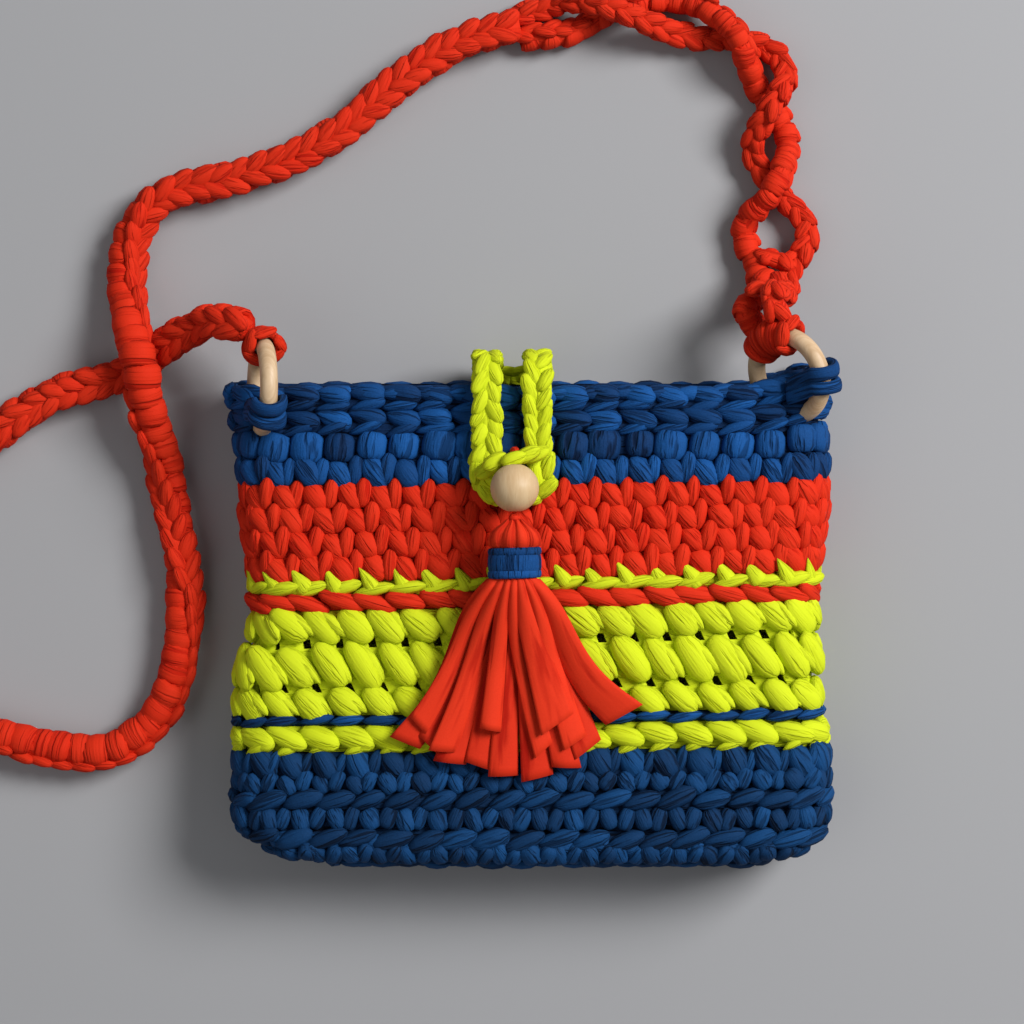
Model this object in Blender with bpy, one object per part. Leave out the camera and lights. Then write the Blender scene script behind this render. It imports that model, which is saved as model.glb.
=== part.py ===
"""Crossbody bag crocheted in thick jersey yarn, lying on its back. Lengths are in metres.

X runs across the bag, Y up to its mouth and Z out of its front. The origin is on the back
panel, at half the bag's height. The body is worked in the round, one ring of yarn on another.
"""
import math
import random
from collections import namedtuple

import bmesh
import bpy
from mathutils import Matrix, Vector

for old in list(bpy.data.objects):
    bpy.data.objects.remove(old, do_unlink=True)

# Body of the bag
gap = 0.0003
body_width = 0.2590
mouth_depth = 0.0440
base_depth = 0.0520
front_crown = 0.0030
side_round = 0.0200
roundest_side = 0.495
corner_steps = 8
front_steps = 16
wall = 0.0100
stitches_round = 40
row_valley = 0.0028
stitch_crease = 0.0024
left_pinch_hip = 0.0035
left_pinch_waist = 0.0105
left_pinch_shoulder = 0.0060
right_pinch_hip = 0.0030
right_pinch_waist = 0.0046
base_corner_left = 0.0400
base_corner_right = 0.0280
base_corner_height = 0.0240
base_edge = 0.0120
row_rise = 0.0028
back_rim_lift = 0.0030
corner_pull = 0.0085
corner_pull_width = 0.0420
eyelet_size = 0.0048
spike_rise = 0.0036
flat_back = 0.99
band_sharp_angle = math.radians(15.0)
piece_sharp_angle = math.radians(50.0)
route_steps = 16

# Rows of stitches
base_row_height = 0.0086
braid_height = 0.0084
small_row_height = 0.0082
tall_row_height = 0.0163
fat_chain_height = 0.0113
thin_chain_height = 0.0042
lattice_low_height = 0.0121
lattice_middle_height = 0.0188
lattice_top_height = 0.0137
red_chain_height = 0.0067
spike_chain_height = 0.0059
red_row_height = 0.0098
navy_row_height = 0.0104
chevron_height = 0.0098

# Wooden rings
ring_radius = 0.0173
ring_section = 0.00375
ring_play = 0.0006
ring_steps = 26
ring_sides = 8
ring_left_inset = 0.0177
ring_left_up = 0.0002
ring_left_z = 0.0376
ring_left_lean = math.radians(15.0)
ring_right_inset = 0.0192
ring_right_up = 0.0049
ring_right_z = 0.0370
ring_right_turn = math.radians(23.0)
ring_right_lean = math.radians(41.5)
tie_width = 0.0125
tie_thickness = 0.0036
tie_steps = 6
tie_left_angle = math.radians(126.0)
tie_right_angle = math.radians(112.0)
eye_thickness = 0.0042
eye_left_half_angle = math.radians(24.0)
eye_right_half_angle = math.radians(37.0)
eye_sides = 10

# Closure: loop, bead and bead cord
bead_x = -0.0054
bead_y = 0.0583
bead_radius = 0.0100
bead_lift = 0.0100
bead_steps = 16
bead_profile_steps = 7
bore_play = 0.0004
cord_radius = 0.0020
cord_rise_ahead = 0.0050
cord_lean = 0.0020
cord_stations_count = 9
cord_sides = 8
loop_x = -0.0063
loop_width = 0.0105
loop_thickness = 0.0066
loop_leg_spacing = 0.0212
loop_spread = 0.0290
loop_end_y = 0.0500
loop_bulge = 0.0125
loop_bar_share = 0.16
loop_stations_count = 40
loop_swells = (1.0, 0.84)
settling = 0.0006

# Tassel
knot_radius = 0.0028
knot_drop = 0.0005
knot_segments = 10
knot_rings = 6
strand_columns = 8
top_column_share = 0.4
roundness = 0.95
neck_half_width = 0.0083
neck_half_depth = 0.0074
head_half_width = 0.0103
head_half_depth = 0.0090
head_top_radius = 0.0036
head_height = 0.0092
head_widest_share = 0.45
head_sag = 0.0018
wrap_height = 0.0120
wrap_thickness = 0.0021
wrap_turns = 3
wrap_steps = 16
wrap_z = 0.0610
wrap_slope = 0.0008
skirt_length = 0.0850
skirt_stations = (0.14, 0.34, 0.60)
skirt_landing = 0.55
strip_fold = 0.45
low_strip_shares = (0.95, 1.02)
top_strip_shares = (0.76, 0.94)
strip_seed = 11
skirt_fan = math.radians(29.6)
strip_thickness = 0.0024
skirt_clearance = 0.0010

# Strap
strap_radius = 0.00775
strap_stations = 31
strand_radius = 0.00525
pair_stations = 27
strand_stations_count = 29
cord_bevel_resolution = 2
crossing_play = 0.0006
strap_bend_start = 0.0055
fork_lead = 0.0040
strand_place = math.radians(17.0)
strand_place_share = 0.85
strand_seat = 0.0010
strand_lead = 0.0085

body_height = (base_row_height + 2 * braid_height + small_row_height + tall_row_height
               + fat_chain_height + thin_chain_height + lattice_low_height
               + lattice_middle_height + lattice_top_height + red_chain_height
               + spike_chain_height + 4 * red_row_height + 2 * navy_row_height
               + 2 * chevron_height)
base_y = -body_height / 2
rim_y = body_height / 2

# One row of stitches: its yarn ring's name, its height, where its crests lie in that height,
# how many columns its stitches lean in it, how far its crests point sideways, and whether its
# stitches sit between those of the row below
Row = namedtuple("Row", "band height crests lean point between")
rows = (
    Row("base_cup", base_row_height, (0.5,), 0.0, 0.0, False),
    Row("base_cup", braid_height, (0.5,), -1.0, 0.0, True),
    Row("base_cup", small_row_height, (0.5,), 0.0, 0.0, True),
    Row("base_cup", braid_height, (0.5,), -1.0, 0.0, True),
    Row("base_cup", tall_row_height, (0.28, 0.74), 0.0, 0.0, True),
    Row("lower_yellow_chain", fat_chain_height, (0.5,), 1.0, 0.0, False),
    Row("navy_chain", thin_chain_height, (0.5,), -0.5, 0.0, False),
    Row("yellow_lattice_band", lattice_low_height, (0.5,), 1.0, 0.0, False),
    Row("yellow_lattice_band", lattice_middle_height, (0.28, 0.72), 1.0, 0.0, False),
    Row("yellow_lattice_band", lattice_top_height, (0.25, 0.75), 1.0, 0.0, False),
    Row("red_chain", red_chain_height, (0.5,), 1.0, 0.0, False),
    Row("yellow_spike_chain", spike_chain_height, (0.5,), -1.0, 0.0, False),
    Row("red_band", red_row_height, (0.62,), 0.0, 0.0, False),
    Row("red_band", red_row_height, (0.55,), 0.0, 0.0, True),
    Row("red_band", red_row_height, (0.55,), 0.0, 0.0, True),
    Row("red_band", red_row_height, (0.55,), 0.0, 0.0, True),
    Row("top_navy_band", navy_row_height, (0.5,), 0.0, 0.0, True),
    Row("top_navy_band", navy_row_height, (0.5,), 0.0, 0.0, True),
    Row("top_navy_band", chevron_height, (0.5,), 0.0, -0.8, False),
    Row("top_navy_band", chevron_height, (0.5,), 0.0, -0.8, False),
)
yarns = {"base_cup": "navy", "lower_yellow_chain": "yellow", "navy_chain": "navy",
         "yellow_lattice_band": "yellow", "red_chain": "red", "yellow_spike_chain": "yellow",
         "red_band": "red", "top_navy_band": "navy"}
# Height shares at which the sides are pinched in: base, hip, lower waist, waist, shoulder, rim
left_pinch = ((0.0, left_pinch_hip), (0.385, left_pinch_hip), (0.554, left_pinch_waist),
              (0.764, left_pinch_shoulder), (1.0, 0.0))
right_pinch = ((0.0, 0.0), (0.195, 0.0), (0.385, right_pinch_hip),
               (0.554, right_pinch_waist), (0.764, 0.0), (1.0, 0.0))


def make_material(name, colour, roughness):
    """Principled material of one colour."""
    material = bpy.data.materials.new(name)
    material.use_nodes = True
    shader = material.node_tree.nodes["Principled BSDF"]
    shader.inputs["Base Color"].default_value = (*colour, 1.0)
    shader.inputs["Roughness"].default_value = roughness
    shader.inputs["Metallic"].default_value = 0.0
    material.diffuse_color = (*colour, 1.0)
    return material


navy = make_material("navy_yarn", (0.010, 0.065, 0.150), 0.85)
red = make_material("red_yarn", (0.680, 0.045, 0.015), 0.80)
yellow = make_material("yellow_yarn", (0.660, 0.800, 0.010), 0.80)
wood = make_material("wood", (0.760, 0.530, 0.340), 0.50)
yarn_materials = {"navy": navy, "red": red, "yellow": yellow}


def ease(t):
    """Smooth step from 0 to 1."""
    t = min(max(t, 0.0), 1.0)
    return t * t * (3.0 - 2.0 * t)


def between(stations, at):
    """Smooth value at a place between (place, value) stations."""
    for (low, first), (high, second) in zip(stations, stations[1:]):
        if at <= high:
            return first + (second - first) * ease((at - low) / (high - low))
    return stations[-1][1]


def smooth_route(points, count, closed=False):
    """Evenly spaced points on a smooth curve through the given ones, of any length."""
    size = len(points)
    dense = []
    spans = size if closed else size - 1
    for span in range(spans):
        if closed:
            p0, p1, p2, p3 = (points[(span + k) % size] for k in (-1, 0, 1, 2))
        else:
            p0, p1, p2, p3 = (points[min(max(span + k, 0), size - 1)] for k in (-1, 0, 1, 2))
        for step in range(route_steps):
            t = step / route_steps
            dense.append([0.5 * (2 * b + (c - a) * t + (2 * a - 5 * b + 4 * c - d) * t * t
                                 + (3 * b - a - 3 * c + d) * t ** 3)
                          for a, b, c, d in zip(p0, p1, p2, p3)])
    dense.append(list(points[0] if closed else points[-1]))
    lengths = [0.0]
    for first, second in zip(dense, dense[1:]):
        lengths.append(lengths[-1] + math.dist(first[:3], second[:3]))
    result, spot = [], 0
    total = count if closed else count - 1
    for index in range(count):
        target = lengths[-1] * index / total
        while spot < len(dense) - 2 and lengths[spot + 1] < target:
            spot += 1
        share = (target - lengths[spot]) / max(lengths[spot + 1] - lengths[spot], 1e-9)
        result.append([a + (b - a) * share for a, b in zip(dense[spot], dense[spot + 1])])
    return result


def add_object(name, mesh, material, sharp_angle=piece_sharp_angle):
    """Link a mesh as a named object with one material, smooth but for its sharp edges."""
    thing = bpy.data.objects.new(name, mesh)
    bpy.context.collection.objects.link(thing)
    mesh.materials.append(material)
    mesh.shade_smooth()
    mesh.set_sharp_from_angle(angle=sharp_angle)
    return thing


def loft(name, rings, material, closed=False, origin=(0.0, 0.0, 0.0)):
    """Skin a run of point rings, with flat caps unless the run closes on itself."""
    shape = bmesh.new()
    origin = Vector(origin)
    layers = [[shape.verts.new(Vector(point) - origin) for point in ring] for ring in rings]
    pairs = list(zip(layers, layers[1:]))
    if closed:
        pairs.append((layers[-1], layers[0]))
    for first, second in pairs:
        for k in range(len(first)):
            n = (k + 1) % len(first)
            shape.faces.new((first[k], first[n], second[n], second[k]))
    if not closed:
        shape.faces.new(layers[0])
        shape.faces.new(layers[-1])
    bmesh.ops.recalc_face_normals(shape, faces=shape.faces)
    mesh = bpy.data.meshes.new(name)
    shape.to_mesh(mesh)
    shape.free()
    thing = add_object(name, mesh, material)
    thing.location = origin
    return thing


def limits(y):
    """Left, right, back and front of the body's crests at height y, and its side radius."""
    share = (y - base_y) / body_height
    low_share = max(1.0 - (y - base_y) / base_corner_height, 0.0)
    corner = 1.0 - math.sqrt(max(1.0 - low_share ** 2, 0.0))
    edge_share = max(1.0 - (y - base_y) / base_edge, 0.0)
    edge = base_edge * (1.0 - math.sqrt(max(1.0 - edge_share ** 2, 0.0)))
    left = -body_width / 2 + between(left_pinch, share) + base_corner_left * corner
    right = body_width / 2 - between(right_pinch, share) - base_corner_right * corner
    depth = base_depth + (mouth_depth - base_depth) * share
    front = depth - front_crown - edge
    return left, right, edge, front, min(side_round, (front - edge) * roundest_side)


def front_surface(x, y):
    """Height of the front's crests at a place."""
    left, right, back, front, radius = limits(y)
    half = (right - left) / 2 - radius
    offset = x - (left + right) / 2
    if abs(offset) < half:
        return front + front_crown * (1.0 - (offset / half) ** 2)
    over = min(abs(offset) - half, radius)
    return front - radius + math.sqrt(radius ** 2 - over ** 2)


def section(y):
    """Outline through the crests at height y, from the middle of the back towards +X."""
    left, right, back, front, radius = limits(y)
    middle = (left + right) / 2
    half = (right - left) / 2 - radius
    outline = [(middle, back)]
    for x, z, start in ((middle + half, back + radius, -90), (middle + half, front - radius, 0),
                        (middle - half, front - radius, 90), (middle - half, back + radius, 180)):
        for step in range(corner_steps + 1):
            angle = math.radians(start + step * 90 / corner_steps)
            outline.append((x + radius * math.cos(angle), z + radius * math.sin(angle)))
        if start == 0:
            for step in range(1, front_steps):
                offset = half * (1 - 2 * step / front_steps)
                outline.append((middle + offset,
                                front + front_crown * (1.0 - (offset / half) ** 2)))
    outline.append((middle, back))
    return outline


def around(y, phase, count, shift=0.0):
    """Places and outward directions of count columns at height y."""
    outline = section(y)
    lengths = [0.0]
    for first, second in zip(outline, outline[1:]):
        lengths.append(lengths[-1] + math.dist(first, second))

    def at(column):
        target = lengths[-1] * (((column + phase) / (2 * stitches_round)) % 1.0)
        spot = 0
        while spot < len(outline) - 2 and lengths[spot + 1] < target:
            spot += 1
        share = (target - lengths[spot]) / (lengths[spot + 1] - lengths[spot])
        return Vector(outline[spot]).lerp(Vector(outline[spot + 1]), share)

    places = []
    for k in range(count):
        column = k * 2 * stitches_round / count + shift
        along = at(column + 0.5) - at(column - 0.5)
        places.append((at(column), Vector((along.y, -along.x)).normalized()))
    return places


def drape(x, y, z):
    """Body point, with its rows a little higher on the right and at the back of the rim."""
    share = (y - base_y) / body_height
    rise = row_rise * math.sin(math.pi * share) ** 2 * 2 * x / body_width
    lift = back_rim_lift * max(2 * share - 1, 0.0) ** 2 * (1 - z / mouth_depth)
    pull = corner_pull * ease((share - 0.8) / 0.2)
    pull *= ease((x - body_width / 2 + corner_pull_width) / corner_pull_width)
    return Vector((x, y + rise + lift + pull, z))


# The rows' boundaries, from the base up: the phase of the stitch columns at each
heights = [base_y]
phases = [0.0]
for row in rows:
    heights.append(heights[-1] + row.height)
    phases.append(phases[-1] + row.lean)


def crest_ring(shape, row, index, share, even):
    """Ring of stitch crests and the creases between them, flat where the back rests."""
    y = heights[index] + row.height * share
    phase = phases[index] + row.lean * share + row.point
    ring = []
    for k, (place, out) in enumerate(around(y, phase, 2 * stitches_round)):
        crease = stitch_crease if (k % 2 == 0) != even else 0.0
        if out.y < -flat_back and len(row.crests) > 1:
            crease = 0.0
        spot = place - out * crease
        ring.append(shape.verts.new(drape(spot.x, y, spot.y)))
    return ring


def valley_ring(shape, index, side, even, spikes):
    """Ring along the boundary of two rows; at a band's rim it stands half a gap back."""
    ring = []
    for k, (place, out) in enumerate(around(heights[index], phases[index], 2 * stitches_round)):
        spot = place - out * row_valley
        rise = spike_rise if spikes and (k % 2 == 0) == even else 0.0
        ring.append(shape.verts.new(drape(spot.x, heights[index] + side * gap / 2 + rise, spot.y)))
    return ring


def inner_ring(shape, y, phase, side, stitches_each):
    """Ring on the inner wall, one point behind each crease, or behind every second one."""
    ring = []
    for place, out in around(y, phase, stitches_round // stitches_each, shift=1.0):
        spot = place - out * wall
        ring.append(shape.verts.new(drape(spot.x, y + side * gap / 2, spot.y)))
    return ring


def skin(shape, lower, upper):
    """Quads between two rings of as many points."""
    for k in range(len(lower)):
        n = (k + 1) % len(lower)
        shape.faces.new((lower[k], lower[n], upper[n], upper[k]))


def cap_rim(shape, outer, inner):
    """Triangles between the outer ring of a rim and its coarser inner ring."""
    each = len(outer) // len(inner)
    for k in range(len(inner)):
        n = (k + 1) % len(inner)
        edge = [outer[(each * k + 1 + step) % len(outer)] for step in range(each + 1)]
        half = each // 2
        for step in range(each):
            near = inner[k] if step < half else inner[n]
            shape.faces.new((edge[step], edge[step + 1], near))
        shape.faces.new((edge[half], inner[n], inner[k]))


def open_eyelets(shape, outer_ring, inner_level):
    """A hole through the wall at each crease of one row boundary."""
    outer = [outer_ring[2 * k + 1] for k in range(stitches_round)]
    fronts = bmesh.ops.bevel(shape, geom=outer, offset=eyelet_size / 2, offset_type="OFFSET",
                             affect="VERTICES", segments=1, profile=0.5)["faces"]
    backs = bmesh.ops.bevel(shape, geom=list(inner_level), offset=eyelet_size / 2,
                            offset_type="OFFSET", affect="VERTICES", segments=1,
                            profile=0.5)["faces"]
    middles = [(face, face.calc_center_median()) for face in backs]
    for front in fronts:
        spot = front.calc_center_median()
        back = min(middles, key=lambda pair: (pair[1] - spot).length)[0]
        edges = list(front.edges) + list(back.edges)
        bmesh.ops.delete(shape, geom=[front, back], context="FACES_ONLY")
        bmesh.ops.bridge_loops(shape, edges=edges)


def make_band(name):
    """One ring of yarn: its rows of stitches outside, a smooth wall inside."""
    shape = bmesh.new()
    first = next(k for k, row in enumerate(rows) if row.band == name)
    last = max(k for k, row in enumerate(rows) if row.band == name) + 1
    at_base = first == 0
    even = True
    spiky = (name == "yellow_spike_chain", name == "red_band")
    lower_side = 0 if at_base else 1
    upper_side = 0 if last == len(rows) else -1
    rings = [valley_ring(shape, first, lower_side, True, spiky[1])]
    valleys = []
    for index in range(first, last):
        row = rows[index]
        even = even != row.between
        for share in row.crests:
            rings.append(crest_ring(shape, row, index, share, even))
        side = upper_side if index + 1 == last else 0
        ring = valley_ring(shape, index + 1, side, True, spiky[0] and index + 1 == last)
        rings.append(ring)
        if index + 1 < last:
            valleys.append((index + 1, ring))
    for lower, upper in zip(rings, rings[1:]):
        skin(shape, lower, upper)
    eyelets = name == "yellow_lattice_band"
    each = 1 if eyelets else 2
    low_y = base_y + wall if at_base else heights[first]
    inner = [inner_ring(shape, low_y, phases[first], lower_side, each)]
    if eyelets:
        inner += [inner_ring(shape, heights[k], phases[k], 0, each) for k, ring in valleys]
    inner.append(inner_ring(shape, heights[last], phases[last], upper_side, each))
    for lower, upper in zip(inner, inner[1:]):
        skin(shape, upper, lower)
    cap_rim(shape, rings[-1], inner[-1])
    if at_base:
        shape.faces.new(rings[0])
        shape.faces.new(inner[0])
    else:
        cap_rim(shape, rings[0], inner[0])
    if eyelets:
        for (index, ring), level in zip(valleys, inner[1:]):
            open_eyelets(shape, ring, level)
    bmesh.ops.recalc_face_normals(shape, faces=shape.faces)
    mesh = bpy.data.meshes.new(name)
    shape.to_mesh(mesh)
    shape.free()
    return add_object(name, mesh, yarn_materials[yarns[name]], band_sharp_angle)


bands = {name: make_band(name) for name in yarns}


# Wooden rings, each through the front wall and turning about its own axis
RingFrame = namedtuple("RingFrame", "at up out axis")


def ring_frame(at, turn, lean):
    """Ring's centre and directions: up to the strap, out over the front, and its axis."""
    up = Vector((-math.sin(turn), math.cos(turn), 0.0))
    flat = Vector((math.cos(turn), math.sin(turn), 0.0))
    out = flat * math.sin(lean) + Vector((0.0, 0.0, math.cos(lean)))
    return RingFrame(Vector(at), up, out, up.cross(out))


def on_ring(frame, angle, radius, side=0.0):
    """Point at a turn of the ring, at a distance from its centre and beside its plane."""
    direction = frame.up * math.cos(angle) + frame.out * math.sin(angle)
    return frame.at + direction * radius + frame.axis * side


def make_ring(name, frame, section_radius, material):
    """Torus of round section about the ring's axis."""
    loops = []
    for step in range(ring_steps):
        angle = math.tau * step / ring_steps
        loop = []
        for corner in range(ring_sides):
            turn = math.tau * (corner + 0.5) / ring_sides
            loop.append(on_ring(frame, angle, ring_radius + section_radius * math.cos(turn),
                                section_radius * math.sin(turn)))
        loops.append(loop)
    return loft(name, loops, material, closed=True, origin=frame.at)


left_ring = ring_frame((ring_left_inset - body_width / 2, rim_y + ring_left_up, ring_left_z),
                       0.0, ring_left_lean)
right_ring = ring_frame((body_width / 2 - ring_right_inset, rim_y + ring_right_up, ring_right_z),
                        ring_right_turn, ring_right_lean)
for side, frame in (("left", left_ring), ("right", right_ring)):
    make_ring("ring_" + side, frame, ring_section, wood)
    cutter = make_ring("ring_hole_" + side, frame, ring_section + ring_play, navy)
    cutter.hide_render = True
    cutter.display_type = "WIRE"
    hole = bands["top_navy_band"].modifiers.new("ring_hole_" + side, "BOOLEAN")
    hole.operation = "DIFFERENCE"
    hole.solver = "EXACT"
    hole.object = cutter


def make_tie(name, frame, angle):
    """Two turns of navy yarn over the ring's front, down to the fabric on both sides."""
    reach = ring_section + ring_play + tie_thickness / 2
    middle = on_ring(frame, angle, ring_radius)
    raised = on_ring(frame, angle, ring_radius + 1.0) - middle
    along = frame.axis.cross(raised).normalized()
    arch = []
    for step in range(tie_steps + 1):
        turn = math.pi * step / tie_steps
        arch.append(middle + (frame.axis * math.cos(turn) + raised * math.sin(turn)) * reach)
    ends = []
    for top in (arch[0], arch[-1]):
        foot = top - frame.out * gap
        while all(corner.z > front_surface(corner.x, corner.y) + gap
                  for corner in (foot + along * dy + frame.axis * dx - frame.out * gap
                                 for dx in (-tie_thickness / 2, tie_thickness / 2)
                                 for dy in (-tie_width / 2, tie_width / 2))):
            foot -= frame.out * gap
        ends.append(foot)
    path = [ends[0]] + arch + [ends[1]]
    outline = ((-0.5, 0.0), (-0.38, 0.5), (-0.12, 0.5), (0.0, 0.2), (0.12, 0.5), (0.38, 0.5),
               (0.5, 0.0), (0.38, -0.5), (-0.38, -0.5))
    rings = []
    for k, point in enumerate(path):
        before = path[max(k - 1, 0)]
        after = path[min(k + 1, len(path) - 1)]
        out = along.cross(after - before).normalized()
        if out.dot(point - middle) < 0:
            out = -out
        rings.append([point + along * u * tie_width + out * v * tie_thickness
                      for u, v in outline])
    return loft(name, rings, navy)


make_tie("ring_tie_left", left_ring, tie_left_angle)
make_tie("ring_tie_right", right_ring, tie_right_angle)


def make_eye(name, frame, half_angle):
    """Strap end worked round the ring's top: an open sleeve that the ring slides through."""
    inside = ring_section + ring_play
    loops = []
    outer = [(-1.0, 0.55), (-0.60, 1.0), (-0.20, 0.8), (0.20, 1.0), (0.60, 0.8), (1.0, 0.6)]
    profile = [(turn, inside + eye_thickness * size) for turn, size in outer]
    profile += [(turn, inside) for turn, size in reversed(outer)]
    for corner in range(eye_sides):
        spin = math.tau * corner / eye_sides
        loops.append([on_ring(frame, turn * half_angle, ring_radius + size * math.cos(spin),
                              size * math.sin(spin)) for turn, size in profile])
    return loft(name, loops, red, closed=True)


make_eye("strap_eye_left", left_ring, eye_left_half_angle)
make_eye("strap_eye_right", right_ring, eye_right_half_angle)


# Closure loop: two legs over the mouth, an end under the bead and a bar on the back rim
def front_z(x, y, thickness):
    """Middle height of something that lies on the front, settled between its stitches."""
    return front_surface(x, y) - settling + gap + thickness / 2


def loop_side(side):
    """Half of the loop's route, from its lower end to its bar; the last value tilts it."""
    leg = loop_leg_spacing / 2
    wide = loop_spread / 2
    rim = mouth_depth
    lying = front_z(loop_x, loop_end_y, loop_thickness)
    half = loop_thickness / 2
    return [(loop_x + side * wide * 0.62, loop_end_y + 0.0030, lying, 0.0),
            (loop_x + side * wide, bead_y + 0.0020, lying, 0.0),
            (loop_x + side * leg * 1.06, bead_y + 0.0150, lying, 0.0),
            (loop_x + side * leg, rim_y - 0.0130, lying - 0.0003, 0.0),
            (loop_x + side * leg, rim_y - 0.0020, rim + half + 0.0020, 0.15),
            (loop_x + side * leg, rim_y + loop_bulge * 0.66, rim + 0.0015, 0.80),
            (loop_x + side * leg, rim_y + loop_bulge, rim * 0.72, 1.35),
            (loop_x + side * leg, rim_y + loop_bulge * 0.94, rim * 0.45, math.pi / 2),
            (loop_x + side * leg * 0.86, rim_y + back_rim_lift + half * 1.6, rim * 0.24,
             math.pi / 2)]


loop_route = [(loop_x, loop_end_y, front_z(loop_x, loop_end_y, loop_thickness), 0.0)]
loop_route += loop_side(1)
bar_z = mouth_depth * loop_bar_share
bar_y = rim_y + back_rim_lift * (1 - bar_z / mouth_depth) + loop_thickness / 2
loop_route.append((loop_x, bar_y, bar_z, math.pi / 2))
loop_route += reversed(loop_side(-1))
loop_stations = smooth_route(loop_route, loop_stations_count, closed=True)
loop_rings = []
for k, (x, y, z, tilt) in enumerate(loop_stations):
    before = Vector(loop_stations[k - 1][:3])
    after = Vector(loop_stations[(k + 1) % len(loop_stations)][:3])
    along = (after - before).normalized()
    out = Vector((0.0, math.sin(tilt), math.cos(tilt)))
    out = (out - along * out.dot(along)).normalized()
    across = along.cross(out)
    swell = loop_swells[(k + 1) % 2]
    loop_rings.append([Vector((x, y, z)) + across * u * loop_width * swell
                       + out * v * loop_thickness * swell
                       for u, v in ((0.5, 0.0), (0.28, 0.5), (-0.28, 0.5), (-0.5, 0.0),
                                    (-0.26, -0.5), (0.26, -0.5))])
loft("closure_loop", loop_rings, yellow, closed=True)

# Bead with its bore along Y, and the cord that it turns on
bead_z = front_surface(bead_x, bead_y) + bead_lift + bead_radius
bore_radius = cord_radius + bore_play
bore_half = math.sqrt(bead_radius ** 2 - bore_radius ** 2)
bead_profile = [(bore_radius, -bore_half)]
start_angle = math.asin(bore_radius / bead_radius)
for step in range(1, bead_profile_steps):
    angle = start_angle + (math.pi - 2 * start_angle) * step / bead_profile_steps
    bead_profile.append((bead_radius * math.sin(angle), -bead_radius * math.cos(angle)))
bead_profile.append((bore_radius, bore_half))
bead_rings = []
for step in range(bead_steps):
    turn = math.tau * step / bead_steps
    bead_rings.append([Vector((bead_x + r * math.cos(turn), bead_y + y, bead_z + r * math.sin(turn)))
                       for r, y in bead_profile])
loft("bead", bead_rings, wood, closed=True, origin=(bead_x, bead_y, bead_z))

pivot = Vector((bead_x, bead_y - bore_half - knot_radius, bead_z - knot_drop))
cord_start_y = bead_y + bead_radius + cord_rise_ahead
cord_points = [(bead_x, cord_start_y, front_z(bead_x, cord_start_y, 0.0)),
               (bead_x, cord_start_y + cord_lean * 0.2, bead_z - bead_radius),
               (bead_x, cord_start_y - cord_lean * 0.8, bead_z - cord_lean * 1.1),
               (bead_x, bead_y + bead_radius - cord_lean * 0.25, bead_z),
               (bead_x, bead_y, bead_z),
               (bead_x, pivot.y + knot_radius + gap, bead_z)]
cord_stations = smooth_route(cord_points, cord_stations_count)
cord_rings = []
for k, (x, y, z) in enumerate(cord_stations):
    before = Vector(cord_stations[max(k - 1, 0)])
    after = Vector(cord_stations[min(k + 1, len(cord_stations) - 1)])
    along = (after - before).normalized()
    if k == 0:
        along = Vector((0.0, 0.0, 1.0))
    out = along.cross(Vector((1.0, 0.0, 0.0)))
    cord_rings.append([Vector((x, y, z)) + Vector((1.0, 0.0, 0.0)) * cord_radius * math.cos(turn)
                       + out * cord_radius * math.sin(turn)
                       for turn in (math.tau * k / cord_sides for k in range(cord_sides))])
loft("bead_cord", cord_rings, red)

# Knot that the tassel turns on, round about its own middle
knot_mesh = bpy.data.meshes.new("tassel_link")
knot_shape = bmesh.new()
bmesh.ops.create_uvsphere(knot_shape, u_segments=knot_segments, v_segments=knot_rings,
                          radius=knot_radius)
bmesh.ops.rotate(knot_shape, verts=knot_shape.verts, cent=(0.0, 0.0, 0.0),
                 matrix=Matrix.Rotation(math.radians(90.0), 3, "X"))
knot_shape.to_mesh(knot_mesh)
knot_shape.free()
knot = add_object("tassel_link", knot_mesh, red)
knot.location = pivot

# Tassel: strips that share a head, a bound neck and a skirt that fans over the front
head_top_y = pivot.y - knot_radius - gap
wrap_top_y = head_top_y - head_height
wrap_low_y = wrap_top_y - wrap_height
hem_z = front_surface(bead_x, wrap_low_y - skirt_length) + skirt_clearance + strip_thickness + gap
Bundle = namedtuple("Bundle", "y z half_width half_depth")
head_bundles = (
    Bundle(head_top_y, pivot.z, head_top_radius, head_top_radius),
    Bundle(head_top_y - head_height * head_widest_share, pivot.z - head_sag, head_half_width,
           head_half_depth),
    Bundle(wrap_top_y, wrap_z + wrap_slope, neck_half_width, neck_half_depth),
    Bundle(wrap_low_y, wrap_z, neck_half_width, neck_half_depth),
)


def strip_cell(u, layer, bundle):
    """Edge height of a strip in a round bundle: one layer above the other."""
    reach = bundle.half_depth * math.sqrt(max(1.0 - (roundness * u) ** 2, 0.0))
    inner = layer * gap / 2
    return bundle.z + inner, bundle.z + layer * reach


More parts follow.
